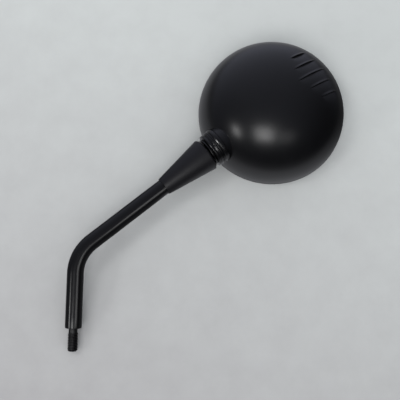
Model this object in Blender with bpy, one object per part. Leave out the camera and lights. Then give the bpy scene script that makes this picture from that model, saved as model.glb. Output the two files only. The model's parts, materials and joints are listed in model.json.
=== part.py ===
"""Round motorcycle mirror: a bent steel stem, a sprung ball joint and a domed head.

Metres, +Z up. The origin is the centre of the stem's shoulder, where the threaded stud starts.
The stud points down, the arm leans toward +X and the dome of the head faces -Y.
Run it in Blender 4.5: blender --background --python part.py
"""

import math

import bmesh
import bpy
from mathutils import Matrix, Vector

# Clearance between pieces that touch, and how far cutters and joined forms run past each other.
FIT_GAP = 0.0003
OVERRUN = 0.0015
MERGE_DISTANCE = 0.000001

# Stem bar
STUD_DIAMETER = 0.008
STUD_LENGTH = 0.018
STUD_TIP_CHAMFER = 0.001
RELIEF_DIAMETER = 0.0064
RELIEF_LENGTH = 0.0035
RELIEF_SLOPE = 0.0006
ROD_DIAMETER = 0.013
ROD_EDGE_CHAMFER = 0.0006
LOWER_ROD_LENGTH = 0.0577
ARM_LENGTH = 0.1398
BEND_RADIUS = 0.032
BEND_ANGLE = math.radians(50.4)
BEND_STATIONS = 12
TAPPED_DEPTH = 0.0165
DRILL_POINT = 0.0022

# Ball stud, its lock nut and its split washer, measured back from the ball's centre
BALL_RADIUS = 0.0105
BALL_NECK_DIAMETER = 0.0086
BALL_NECK_END = 0.0150
SHANK_DIAMETER = 0.008
SHANK_END = 0.0420
SHANK_CHAMFER = 0.0008
HEX_KEY_WIDTH = 0.005
HEX_KEY_DEPTH = 0.004
NUT_START = 0.0190
NUT_HEIGHT = 0.005
NUT_WIDTH = 0.013
NUT_CHAMFER = 0.0006
LOCK_WASHER_THICKNESS = 0.002
LOCK_WASHER_DIAMETER = 0.0140
LOCK_WASHER_SLIT = 0.0012

# Tapered sleeve, measured back from the ball's centre
CONE_FACE = 0.0090
CONE_FACE_CHAMFER = 0.0014
CONE_DIAMETER = 0.0280
CONE_SMALL_DIAMETER = 0.0146
CONE_SMALL_EDGE = 0.0004
CONE_BACK = 0.0529
CONE_GRIP_LENGTH = 0.0100
CONE_MOUTH_WALL = 0.0014

# Housing dome
RIM_DIAMETER = 0.1232
DOME_HEIGHT = 0.0550
DOME_FULLNESS = 2.15
DOME_WALL = 0.0025
DOME_RINGS = 12
DOME_SEGMENTS = 56
CAVITY_RINGS = 6
CAVITY_SEGMENTS = 44
SNAP_GROOVE_DEPTH = 0.0005
SNAP_GROOVE_START = 0.0036
SNAP_GROOVE_WIDTH = 0.0014

# Neck of the housing and its seat for the ball
BALL_INSET = 0.0016
NECK_HEIGHT = 0.0210
NECK_TUBE_DIAMETER = 0.0290
NECK_TUBE_END = 0.0282
NECK_BORE_DIAMETER = 0.0258
NECK_SEGMENTS = 36
SEAT_EDGE = 0.0015
LIP_RADIUS = 0.0118
LIP_CENTRE = -0.0068
LIP_HALF_WIDTH = 0.0008
FIRST_RING_RADIUS = 0.0142
FIRST_RING_CENTRE = -0.0044
FIRST_RING_HALF_WIDTH = 0.0012
TWIN_RING_RADIUS = 0.0145
TWIN_RING_CENTRE = -0.0010
TWIN_RING_HALF_WIDTH = 0.0007
LAST_RING_RADIUS = 0.0149
LAST_RING_CENTRE = 0.0029
LAST_RING_HALF_WIDTH = 0.0019
RING_GROOVE_DEPTH = 0.0008
RING_FLAT_SHARE = 0.45
HEAD_TURN = math.radians(-1.63)
HEAD_ROLL = math.radians(17.0)

# Gill steps moulded in the dome; their places are shares of the rim's radius
GILL_COUNT = 5
GILL_DEPTH = 0.0010
GILL_PITCH_SHARE = 0.162
GILL_GROUP_OFFSET_SHARE = -0.065
GILL_MIDDLE_START_SHARE = 0.308
GILL_MIDDLE_END_SHARE = 0.763
GILL_START_STEP_SHARE = 0.075
GILL_END_STEP_SHARE = 0.029
GILL_RAMP_SHARE = 0.138
GILL_END_RAMP_SHARE = 0.4
GILL_STATIONS = 6

# Sprung cup and liner, measured forward from the ball's centre
LINER_WALL = 0.0010
LINER_RIM = 0.0025
LINER_NOSE = 0.0094
CUP_RIM = 0.0040
CUP_BACK = 0.0150
CUP_BOSS_DIAMETER = 0.0116
CUP_BOSS_LENGTH = 0.0030
CUP_BORE_DIAMETER = 0.0060
SPRING_MEAN_DIAMETER = 0.0164
SPRING_WIRE = 0.0022
SPRING_TURNS = 3
SPRING_POINTS_PER_TURN = 12
THRUST_WASHER_THICKNESS = 0.0012
THRUST_WASHER_BORE = 0.0100

# Plate that closes the neck, its screws and their bosses
BRIDGE_THICKNESS = 0.0030
BRIDGE_DISC_DIAMETER = 0.0250
BRIDGE_END_DIAMETER = 0.0110
BRIDGE_HOLE_DIAMETER = 0.0080
CLAMP_SCREW_SPREAD = 0.0370
CLAMP_SCREW_DIAMETER = 0.0040
CLAMP_SCREW_LENGTH = 0.0140
CLAMP_HEAD_DIAMETER = 0.0072
CLAMP_HEAD_HEIGHT = 0.0026
CLAMP_BOSS_DIAMETER = 0.0084

# Glass, foam, backing plate and bezel, measured up from the rim's plane at the glass's edge
GLASS_SPHERE_RADIUS = 1.2
GLASS_THICKNESS = 0.0020
GLASS_EDGE_HEIGHT = 0.0018
GLASS_EDGE_CHAMFER = 0.0004
GLASS_RINGS = 3
FOAM_THICKNESS = 0.0008
FOAM_MARGIN = 0.0015
CARRIER_THICKNESS = 0.0015
BEZEL_FLANGE = 0.0015
BEZEL_LIP_OVERLAP = 0.0018
BEZEL_WALL = 0.0012
BEZEL_HEIGHT = 0.0062
BEZEL_EDGE_CHAMFER = 0.0005
CARRIER_SCREW_INSET = 0.0171
CARRIER_SCREW_COUNT = 3
CARRIER_SCREW_DIAMETER = 0.0030
CARRIER_SCREW_HEAD = 0.0060
CARRIER_SCREW_LENGTH = 0.0110
CARRIER_BOSS_DIAMETER = 0.0080

# Segments round the smaller turned pieces
ROD_SEGMENTS = 24
BALL_SEGMENTS = 24
BALL_RINGS = 10
SMALL_SEGMENTS = 16

# Sizes that follow from the ones above
STUD_RADIUS = STUD_DIAMETER / 2
ROD_RADIUS = ROD_DIAMETER / 2
RIM_RADIUS = RIM_DIAMETER / 2
NECK_REACH = RIM_RADIUS - BALL_INSET
INNER_RIM_RADIUS = RIM_RADIUS - DOME_WALL
SEAT_SPHERE = BALL_RADIUS + FIT_GAP
NECK_MOUTH = LIP_HALF_WIDTH - LIP_CENTRE
LINER_OUTER = SEAT_SPHERE + LINER_WALL
CUP_SPHERE = LINER_OUTER + FIT_GAP
NUT_END = NUT_START + NUT_HEIGHT
LOCK_WASHER_START = NUT_END + FIT_GAP
ROD_TOP = LOCK_WASHER_START + LOCK_WASHER_THICKNESS + FIT_GAP
SHANK_HOLE_RADIUS = SHANK_DIAMETER / 2 + FIT_GAP
BRIDGE_BACK = NECK_TUBE_END + FIT_GAP
BRIDGE_FRONT = BRIDGE_BACK + BRIDGE_THICKNESS
THRUST_WASHER_BACK = NECK_TUBE_END - THRUST_WASHER_THICKNESS
BEZEL_WALL_OUTER = INNER_RIM_RADIUS - FIT_GAP
BEZEL_WALL_INNER = BEZEL_WALL_OUTER - BEZEL_WALL
GLASS_RADIUS = BEZEL_WALL_INNER - FIT_GAP
FOAM_EDGE_HEIGHT = GLASS_EDGE_HEIGHT + GLASS_THICKNESS + FIT_GAP
CARRIER_EDGE_HEIGHT = FOAM_EDGE_HEIGHT + FOAM_THICKNESS + FIT_GAP
CARRIER_RADIUS = BEZEL_WALL_INNER - FIT_GAP
CARRIER_SCREW_REACH = INNER_RIM_RADIUS - CARRIER_SCREW_INSET
SHELL_EDGE = BEZEL_FLANGE + FIT_GAP
SEAT_TOP = CARRIER_EDGE_HEIGHT + CARRIER_THICKNESS + FIT_GAP

COLOURS = {
    "painted_steel": ((0.012, 0.012, 0.013), 0.35, 0.0),
    "polished_steel": ((0.30, 0.30, 0.31), 0.18, 1.0),
    "zinc_steel": ((0.42, 0.42, 0.40), 0.35, 1.0),
    "spring_steel": ((0.10, 0.10, 0.11), 0.40, 1.0),
    "sleeve_rubber": ((0.022, 0.022, 0.024), 0.60, 0.0),
    "shell_plastic": ((0.014, 0.014, 0.015), 0.38, 0.0),
    "bezel_plastic": ((0.010, 0.010, 0.011), 0.42, 0.0),
    "carrier_plastic": ((0.020, 0.020, 0.022), 0.55, 0.0),
    "nylon": ((0.72, 0.70, 0.64), 0.50, 0.0),
    "foam": ((0.10, 0.10, 0.10), 0.90, 0.0),
    "silvered_glass": ((0.80, 0.82, 0.84), 0.02, 1.0),
}


def clear_scene():
    for obj in list(bpy.data.objects):
        bpy.data.objects.remove(obj, do_unlink=True)


def finish_material(node_name, finish):
    """One Principled material for each object, in the named finish."""
    colour, roughness, metallic = COLOURS[finish]
    material = bpy.data.materials.new(node_name + "_" + finish)
    material.use_nodes = True
    shader = material.node_tree.nodes["Principled BSDF"]
    shader.inputs["Base Color"].default_value = (*colour, 1.0)
    shader.inputs["Roughness"].default_value = roughness
    shader.inputs["Metallic"].default_value = metallic
    material.diffuse_color = (*colour, 1.0)
    return material


def add_object(name, bm, parent=None, place=Matrix.Identity(4), finish=None):
    """Turn a bmesh into an object at its place under its parent."""
    bmesh.ops.recalc_face_normals(bm, faces=bm.faces)
    mesh = bpy.data.meshes.new(name)
    bm.to_mesh(mesh)
    bm.free()
    mesh.shade_smooth()
    mesh.set_sharp_from_angle(angle=math.radians(32))
    obj = bpy.data.objects.new(name, mesh)
    bpy.context.scene.collection.objects.link(obj)
    obj.parent = parent
    obj.matrix_local = place
    if finish:
        mesh.materials.append(finish_material(name, finish))
    return obj


def add_guide(name, place):
    """An empty that carries the pieces of one body; it lies on their joint."""
    empty = bpy.data.objects.new(name, None)
    bpy.context.scene.collection.objects.link(empty)
    empty.matrix_world = place
    return empty


def combine(target, operand, operation):
    """Join or cut the target with a hidden operand, kept as a modifier."""
    operand.hide_render = True
    operand.display_type = "WIRE"
    modifier = target.modifiers.new(operand.name, "BOOLEAN")
    modifier.operation = operation
    modifier.solver = "EXACT"
    modifier.object = operand


def revolve(profile, segments, place=Matrix.Identity(4)):
    """Turn a closed outline of (radius, height) points about the Z axis."""
    bm = bmesh.new()
    verts = [bm.verts.new(Vector((radius, 0.0, height))) for radius, height in profile]
    on_axis = [radius == 0.0 for radius, height in profile]
    edges = []
    for i in range(len(verts)):
        j = (i + 1) % len(verts)
        if not (on_axis[i] and on_axis[j]):
            edges.append(bm.edges.new((verts[i], verts[j])))
    bmesh.ops.spin(
        bm, geom=verts + edges, cent=Vector(), axis=Vector((0, 0, 1)), angle=2 * math.pi, steps=segments,
    )
    bmesh.ops.remove_doubles(bm, verts=bm.verts, dist=MERGE_DISTANCE)
    bmesh.ops.transform(bm, matrix=place, verts=bm.verts)
    return bm


def arc(centre_radius, centre_height, radius, start, end, steps):
    """Points of a round stretch of an outline, in degrees from the +radius direction."""
    points = []
    for i in range(steps + 1):
        angle = math.radians(start + (end - start) * i / steps)
        points.append((centre_radius + radius * math.cos(angle), centre_height + radius * math.sin(angle)))
    return points


def sphere_arc(radius, start_height, end_height, steps):
    """Points on a sphere about the origin, between two heights."""
    start = math.degrees(math.asin(start_height / radius))
    end = math.degrees(math.asin(end_height / radius))
    return arc(0.0, 0.0, radius, start, end, steps)


def prism(outline, bottom, top):
    """Extrude a closed outline of (x, y) points between two heights."""
    bm = bmesh.new()
    face = bm.faces.new([bm.verts.new(Vector((x, y, bottom))) for x, y in outline])
    lifted = bmesh.ops.extrude_face_region(bm, geom=[face])
    moved = [item for item in lifted["geom"] if isinstance(item, bmesh.types.BMVert)]
    bmesh.ops.translate(bm, vec=Vector((0, 0, top - bottom)), verts=moved)
    return bm


def circle_points(radius, segments, x=0.0, y=0.0, turn=0.0):
    steps = [turn + 2 * math.pi * i / segments for i in range(segments)]
    return [(x + radius * math.cos(a), y + radius * math.sin(a)) for a in steps]


def cylinder(radius, bottom, top, segments, place=Matrix.Identity(4)):
    """A plain round bar along Z."""
    bar = prism(circle_points(radius, segments), bottom, top)
    bmesh.ops.transform(bar, matrix=place, verts=bar.verts)
    return bar


def gather(pieces):
    """Put several separate bmeshes into one, so that one operand does all their cuts."""
    whole = bmesh.new()
    for piece in pieces:
        mesh = bpy.data.meshes.new("piece")
        piece.to_mesh(mesh)
        piece.free()
        whole.from_mesh(mesh)
        bpy.data.meshes.remove(mesh)
    return whole


def arm_direction():
    return Vector((math.sin(BEND_ANGLE), 0, math.cos(BEND_ANGLE)))


def ball_centre():
    return Vector((0, 0, LOWER_ROD_LENGTH)) + arm_direction() * ARM_LENGTH


def stem_end_place():
    """Frame at the ball's centre: +Z along the arm, toward the head."""
    along = arm_direction()
    across = Vector((0, -1, 0))
    return Matrix.LocRotScale(ball_centre(), Matrix((across.cross(along), across, along)).transposed(), None)


def head_place():
    """Frame at the ball's centre: +X toward the dome's middle, +Z out of the dome."""
    along = arm_direction()
    dome_axis = Vector((
        -along.z * math.sin(HEAD_ROLL), -math.cos(HEAD_ROLL), along.x * math.sin(HEAD_ROLL),
    ))
    side = dome_axis.cross(along)
    turned = along * math.cos(HEAD_TURN) + side * math.sin(HEAD_TURN)
    rotation = Matrix((turned, dome_axis.cross(turned), dome_axis)).transposed()
    return Matrix.LocRotScale(ball_centre(), rotation, None)


def neck_turn():
    """Turns the head's frame so that +Z runs along the neck, toward the dome."""
    return Matrix.Rotation(math.pi / 2, 4, "Y")


def dome_shift():
    """The dome's axis at the rim's plane, in the head's frame."""
    return Matrix.Translation(Vector((NECK_REACH, 0, -NECK_HEIGHT)))


def path_frame(distance):
    """A frame on the bar's centre line; distance 0 is the shoulder, and the stud has less."""
    tangent_length = BEND_RADIUS * math.tan(BEND_ANGLE / 2)
    straight = LOWER_ROD_LENGTH - tangent_length
    bend = BEND_RADIUS * BEND_ANGLE
    turn = min(max((distance - straight) / BEND_RADIUS, 0.0), BEND_ANGLE)
    point = Vector((BEND_RADIUS * (1 - math.cos(turn)), 0, straight + BEND_RADIUS * math.sin(turn)))
    if distance < straight:
        point.z = distance
    past = max(distance - straight - bend, 0.0)
    rotation = Matrix.Rotation(turn, 4, "Y")
    return Matrix.Translation(point + rotation @ Vector((0, 0, past))) @ rotation


def build_stem_rod():
    tangent_length = BEND_RADIUS * math.tan(BEND_ANGLE / 2)
    bend_start = LOWER_ROD_LENGTH - tangent_length
    bend = BEND_RADIUS * BEND_ANGLE
    end = bend_start + bend + ARM_LENGTH - tangent_length - ROD_TOP
    relief = RELIEF_DIAMETER / 2
    stations = [
        (-STUD_LENGTH, STUD_RADIUS - STUD_TIP_CHAMFER),
        (STUD_TIP_CHAMFER - STUD_LENGTH, STUD_RADIUS),
        (-RELIEF_LENGTH - RELIEF_SLOPE, STUD_RADIUS),
        (-RELIEF_LENGTH, relief),
        (0.0, relief),
        (0.0, ROD_RADIUS - ROD_EDGE_CHAMFER),
        (ROD_EDGE_CHAMFER, ROD_RADIUS),
    ]
    for i in range(BEND_STATIONS + 1):
        stations.append((bend_start + bend * i / BEND_STATIONS, ROD_RADIUS))
    stations += [
        (end - ROD_EDGE_CHAMFER, ROD_RADIUS),
        (end, ROD_RADIUS - ROD_EDGE_CHAMFER),
        (end, SHANK_HOLE_RADIUS),
        (end - TAPPED_DEPTH, SHANK_HOLE_RADIUS),
    ]
    bm = bmesh.new()
    rings = []
    for distance, radius in stations:
        frame = path_frame(distance)
        points = circle_points(radius, ROD_SEGMENTS)
        rings.append([bm.verts.new(frame @ Vector((x, y, 0))) for x, y in points])
    for low, high in zip(rings, rings[1:]):
        for i in range(ROD_SEGMENTS):
            j = (i + 1) % ROD_SEGMENTS
            bm.faces.new((low[i], low[j], high[j], high[i]))
    tip = bm.verts.new(path_frame(-STUD_LENGTH).translation)
    drill_end = bm.verts.new(path_frame(end - TAPPED_DEPTH - DRILL_POINT).translation)
    for i in range(ROD_SEGMENTS):
        j = (i + 1) % ROD_SEGMENTS
        bm.faces.new((tip, rings[0][j], rings[0][i]))
        bm.faces.new((drill_end, rings[-1][i], rings[-1][j]))
    add_object("stem_rod", bm, finish="painted_steel")


def build_stem_cone(stem_end):
    mouth = CONE_DIAMETER / 2 - CONE_FACE_CHAMFER
    bore = ROD_RADIUS + FIT_GAP
    small = CONE_SMALL_DIAMETER / 2
    grip_top = CONE_GRIP_LENGTH - CONE_BACK
    outline = [
        (small - CONE_SMALL_EDGE, -CONE_BACK),
        (small, CONE_SMALL_EDGE - CONE_BACK),
        (CONE_DIAMETER / 2, -CONE_FACE - CONE_FACE_CHAMFER),
        (mouth, -CONE_FACE),
        (mouth - CONE_MOUTH_WALL, -CONE_FACE),
        (bore + FIT_GAP, grip_top),
        (bore, grip_top),
        (bore, -CONE_BACK),
    ]
    add_object("stem_cone", revolve(outline, NECK_SEGMENTS), stem_end, finish="sleeve_rubber")


def build_ball_stud(stem_end):
    neck = BALL_NECK_DIAMETER / 2
    shank = SHANK_DIAMETER / 2
    neck_start = math.sqrt(BALL_RADIUS**2 - neck**2)
    outline = [(0.0, BALL_RADIUS)]
    outline += sphere_arc(BALL_RADIUS, BALL_RADIUS, -neck_start, BALL_RINGS)[1:]
    outline += [
        (neck, -BALL_NECK_END),
        (shank, -BALL_NECK_END - (neck - shank)),
        (shank, SHANK_CHAMFER - SHANK_END),
        (shank - SHANK_CHAMFER, -SHANK_END),
        (0.0, -SHANK_END),
    ]
    ball = add_object("ball_stud", revolve(outline, BALL_SEGMENTS), stem_end, finish="polished_steel")
    key_points = circle_points(HEX_KEY_WIDTH / math.sqrt(3), 6)
    key = prism(key_points, BALL_RADIUS - HEX_KEY_DEPTH, BALL_RADIUS + OVERRUN)
    combine(ball, add_object("ball_key_cutter", key, stem_end), "DIFFERENCE")


def build_lock_nut(stem_end):
    corner = NUT_WIDTH / math.sqrt(3)
    flat = NUT_WIDTH / 2
    nut_points = circle_points(corner, 6)
    nut = add_object("ball_lock_nut", prism(nut_points, -NUT_END, -NUT_START), stem_end, finish="zinc_steel")
    rounded = [
        (SHANK_HOLE_RADIUS, -NUT_END - OVERRUN),
        (flat, -NUT_END - OVERRUN),
        (flat, -NUT_END),
        (corner, NUT_CHAMFER - NUT_END),
        (corner + OVERRUN, NUT_CHAMFER - NUT_END),
        (corner + OVERRUN, -NUT_START - NUT_CHAMFER),
        (corner, -NUT_START - NUT_CHAMFER),
        (flat, -NUT_START),
        (flat, OVERRUN - NUT_START),
        (SHANK_HOLE_RADIUS, OVERRUN - NUT_START),
    ]
    combine(nut, add_object("nut_rounding", revolve(rounded, BALL_SEGMENTS), stem_end), "INTERSECT")


def build_lock_washer(stem_end):
    outer = LOCK_WASHER_DIAMETER / 2
    back = -LOCK_WASHER_START - LOCK_WASHER_THICKNESS
    outline = [
        (SHANK_HOLE_RADIUS, back),
        (outer, back),
        (outer, -LOCK_WASHER_START),
        (SHANK_HOLE_RADIUS, -LOCK_WASHER_START),
    ]
    washer = add_object("lock_washer", revolve(outline, 2 * SMALL_SEGMENTS), stem_end, finish="spring_steel")
    half = LOCK_WASHER_SLIT / 2
    slit_points = [(0.0, -half), (outer + OVERRUN, -half), (outer + OVERRUN, half), (0.0, half)]
    slit = prism(slit_points, back - OVERRUN, OVERRUN - LOCK_WASHER_START)
    combine(washer, add_object("washer_slit", slit, stem_end), "DIFFERENCE")


def build_ball_liner(head):
    inner_rim = math.sqrt(SEAT_SPHERE**2 - LINER_RIM**2)
    outline = [(inner_rim, LINER_RIM)]
    outline += sphere_arc(LINER_OUTER, LINER_RIM, LINER_NOSE, 4)
    outline += sphere_arc(SEAT_SPHERE, LINER_NOSE, LINER_RIM, 4)[:-1]
    add_object("ball_liner", revolve(outline, BALL_SEGMENTS), head, neck_turn(), "nylon")


def build_ball_cup(head):
    outer = NECK_BORE_DIAMETER / 2 - FIT_GAP
    bore = CUP_BORE_DIAMETER / 2
    boss = CUP_BOSS_DIAMETER / 2
    boss_top = CUP_BACK + CUP_BOSS_LENGTH
    outline = [(outer, CUP_RIM)]
    outline += sphere_arc(CUP_SPHERE, CUP_RIM, math.sqrt(CUP_SPHERE**2 - bore**2), 6)
    outline += [(bore, boss_top), (boss, boss_top), (boss, CUP_BACK), (outer, CUP_BACK)]
    add_object("ball_cup", revolve(outline, BALL_SEGMENTS), head, neck_turn(), "nylon")


def build_joint_spring(head):
    """A round wire on a helix between the cup and the thrust washer."""
    low = CUP_BACK + FIT_GAP + SPRING_WIRE / 2
    high = THRUST_WASHER_BACK - FIT_GAP - SPRING_WIRE / 2
    count = SPRING_TURNS * SPRING_POINTS_PER_TURN
    curve = bpy.data.curves.new("joint_spring", "CURVE")
    curve.dimensions = "3D"
    curve.bevel_depth = SPRING_WIRE / 2
    curve.bevel_resolution = 2
    curve.use_fill_caps = True
    spline = curve.splines.new("POLY")
    spline.points.add(count)
    for i, point in enumerate(spline.points):
        angle = 2 * math.pi * i / SPRING_POINTS_PER_TURN
        radius = SPRING_MEAN_DIAMETER / 2
        height = low + (high - low) * i / count
        point.co = (radius * math.cos(angle), radius * math.sin(angle), height, 1.0)
    curve.materials.append(finish_material("joint_spring", "spring_steel"))
    spring = bpy.data.objects.new("joint_spring", curve)
    bpy.context.scene.collection.objects.link(spring)
    spring.parent = head
    spring.matrix_local = neck_turn()


def build_spring_washer(head):
    outer = NECK_BORE_DIAMETER / 2 - FIT_GAP
    bore = THRUST_WASHER_BORE / 2
    outline = [
        (bore, THRUST_WASHER_BACK), (outer, THRUST_WASHER_BACK), (outer, NECK_TUBE_END), (bore, NECK_TUBE_END),
    ]
    washer = revolve(outline, BALL_SEGMENTS)
    add_object("spring_washer", washer, head, neck_turn(), "zinc_steel")


def build_clamp_bridge(head):
    """Lozenge plate: the hull of a middle disc and two rounded ends."""
    half_spread = CLAMP_SCREW_SPREAD / 2
    bm = bmesh.new()
    for height in (BRIDGE_BACK, BRIDGE_FRONT):
        rim = circle_points(BRIDGE_DISC_DIAMETER / 2, 2 * SMALL_SEGMENTS)
        for side in (-half_spread, half_spread):
            rim += circle_points(BRIDGE_END_DIAMETER / 2, SMALL_SEGMENTS, 0.0, side)
        for x, y in rim:
            bm.verts.new(Vector((x, y, height)))
    hull = bmesh.ops.convex_hull(bm, input=bm.verts)
    inside = set(hull["geom_interior"]) | set(hull["geom_unused"])
    bmesh.ops.delete(bm, geom=[v for v in inside if isinstance(v, bmesh.types.BMVert)], context="VERTS")
    bmesh.ops.dissolve_limit(bm, angle_limit=math.radians(1), verts=bm.verts, edges=bm.edges)
    bridge = add_object("clamp_bridge", bm, head, neck_turn(), "zinc_steel")
    low, high = BRIDGE_BACK - OVERRUN, BRIDGE_FRONT + OVERRUN
    holes = [cylinder(BRIDGE_HOLE_DIAMETER / 2, low, high, SMALL_SEGMENTS)]
    screw_hole = CLAMP_SCREW_DIAMETER / 2 + FIT_GAP
    holes += [cylinder(screw_hole, low, high, SMALL_SEGMENTS, spot) for spot in clamp_screw_places()]
    combine(bridge, add_object("bridge_holes", gather(holes), head, neck_turn()), "DIFFERENCE")


def build_clamp_screws(head):
    base = BRIDGE_FRONT + FIT_GAP
    top = base + CLAMP_HEAD_HEIGHT
    head_radius = CLAMP_HEAD_DIAMETER / 2
    shank = CLAMP_SCREW_DIAMETER / 2
    crown = CLAMP_HEAD_HEIGHT / 2
    outline = [(0.0, base - CLAMP_SCREW_LENGTH), (shank, base - CLAMP_SCREW_LENGTH), (shank, base)]
    outline += [(head_radius, base)]
    outline += arc(head_radius - crown, top - crown, crown, 0, 90, 3)
    outline += [(0.0, top)]
    for name, spot in zip(("clamp_screw_left", "clamp_screw_right"), clamp_screw_places()):
        screw = revolve(outline, SMALL_SEGMENTS)
        add_object(name, screw, head, neck_turn() @ spot, "zinc_steel")


def dome_point(share, radius, height):
    """Point of the dome's outline; share 0 is the rim and share 1 the crown."""
    angle = share * math.pi / 2
    power = 2 / DOME_FULLNESS
    return radius * math.cos(angle) ** power, height * math.sin(angle) ** power


def dome_outline(radius, height, edge, rings):
    """Outline of a solid dome that stands on the height of its edge."""
    points = [(0.0, edge), (radius, edge)]
    for i in range(1, rings):
        point = dome_point(i / rings, radius, height)
        if point[1] > edge:
            points.append(point)
    points.append((0.0, height))
    return points


def dome_surface(x, y):
    """Height and outward normal of the dome above a point of the rim's plane."""
    radius = math.hypot(x, y)
    share = (radius / RIM_RADIUS) ** DOME_FULLNESS
    height = DOME_HEIGHT * (1 - share) ** (1 / DOME_FULLNESS)
    steep = (height / DOME_HEIGHT) ** (DOME_FULLNESS - 1) / DOME_HEIGHT
    flat = (radius / RIM_RADIUS) ** (DOME_FULLNESS - 1) / RIM_RADIUS
    normal = Vector((flat * x / radius, flat * y / radius, steep)).normalized()
    return Vector((x, y, height)), normal


def neck_rings():
    """Radius, centre and half width of each moulded ring, from the mouth toward the dome."""
    twin_shift = TWIN_RING_HALF_WIDTH
    return [
        (LIP_RADIUS, LIP_CENTRE, LIP_HALF_WIDTH),
        (FIRST_RING_RADIUS, FIRST_RING_CENTRE, FIRST_RING_HALF_WIDTH),
        (TWIN_RING_RADIUS, TWIN_RING_CENTRE - twin_shift, TWIN_RING_HALF_WIDTH),
        (TWIN_RING_RADIUS, TWIN_RING_CENTRE + twin_shift, TWIN_RING_HALF_WIDTH),
        (LAST_RING_RADIUS, LAST_RING_CENTRE, LAST_RING_HALF_WIDTH),
    ]


def neck_outline():
    """Outline of the solid neck: rings with grooves between them, then the plain tube."""
    points = [(0.0, -NECK_MOUTH)]
    for radius, centre, half in neck_rings():
        groove = radius - RING_GROOVE_DEPTH
        flat = half * RING_FLAT_SHARE
        points += [(groove, centre - half), (radius, centre - flat), (radius, centre + flat)]
        points.append((groove, centre + half - FIT_GAP))
    tube = NECK_TUBE_DIAMETER / 2
    last_ring_end = LAST_RING_CENTRE + LAST_RING_HALF_WIDTH
    points += [(tube, last_ring_end), (tube, NECK_TUBE_END), (0.0, NECK_TUBE_END)]
    return points


def neck_bore_outline():
    """Ball seat, then the straight bore; it runs out of both ends of the neck."""
    bore = NECK_BORE_DIAMETER / 2
    seat_start = NECK_MOUTH + FIT_GAP
    mouth = NECK_MOUTH + OVERRUN
    return (
        [(0.0, -mouth), (math.sqrt(SEAT_SPHERE**2 - seat_start**2), -mouth)]
        + sphere_arc(SEAT_SPHERE, -seat_start, -SEAT_EDGE, 5)
        + [(bore, SEAT_EDGE), (bore, NECK_TUBE_END + OVERRUN), (0.0, NECK_TUBE_END + OVERRUN)]
    )


def clamp_screw_places():
    half_spread = CLAMP_SCREW_SPREAD / 2
    return [Matrix.Translation(Vector((0, side, 0))) for side in (-half_spread, half_spread)]


def carrier_screw_places():
    places = []
    for i in range(CARRIER_SCREW_COUNT):
        angle = 2 * math.pi * i / CARRIER_SCREW_COUNT
        spot = Vector((math.cos(angle), math.sin(angle), 0)) * CARRIER_SCREW_REACH
        places.append(Matrix.Translation(spot))
    return places


def gill_sections(rank, side):
    """Wedge sections along one gill: a steep wall at its upper side and a ramp that fades out."""
    start = RIM_RADIUS * (GILL_MIDDLE_START_SHARE + rank * GILL_START_STEP_SHARE)
    end = RIM_RADIUS * (GILL_MIDDLE_END_SHARE - rank * GILL_END_STEP_SHARE)
    full_ramp = RIM_RADIUS * GILL_RAMP_SHARE
    sections = []
    for i in range(GILL_STATIONS + 1):
        share = 2 * i / GILL_STATIONS - 1
        swell = math.sqrt(1 - share**2)
        x = (start + end) / 2 + share * (end - start) / 2
        ramp = full_ramp * (GILL_END_RAMP_SHARE + (1 - GILL_END_RAMP_SHARE) * swell)
        wall, wall_normal = dome_surface(x, side)
        fade, fade_normal = dome_surface(x, side - ramp)
        sections.append([
            wall - wall_normal * GILL_DEPTH * swell,
            fade,
            fade + fade_normal * OVERRUN,
            wall + wall_normal * OVERRUN,
        ])
    return sections


def gill_cutter():
    """One wedge for each gill, side by side; the middle one is the longest."""
    bm = bmesh.new()
    middle = (GILL_COUNT - 1) / 2
    for i in range(GILL_COUNT):
        side = RIM_RADIUS * (GILL_GROUP_OFFSET_SHARE + (middle - i) * GILL_PITCH_SHARE)
        loops = [[bm.verts.new(point) for point in section] for section in gill_sections(abs(i - middle), side)]
        for near, far in zip(loops, loops[1:]):
            for j in range(len(near)):
                k = (j + 1) % len(near)
                bm.faces.new((near[j], near[k], far[k], far[j]))
        bm.faces.new(loops[0])
        bm.faces.new(loops[-1])
    return bm


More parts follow.
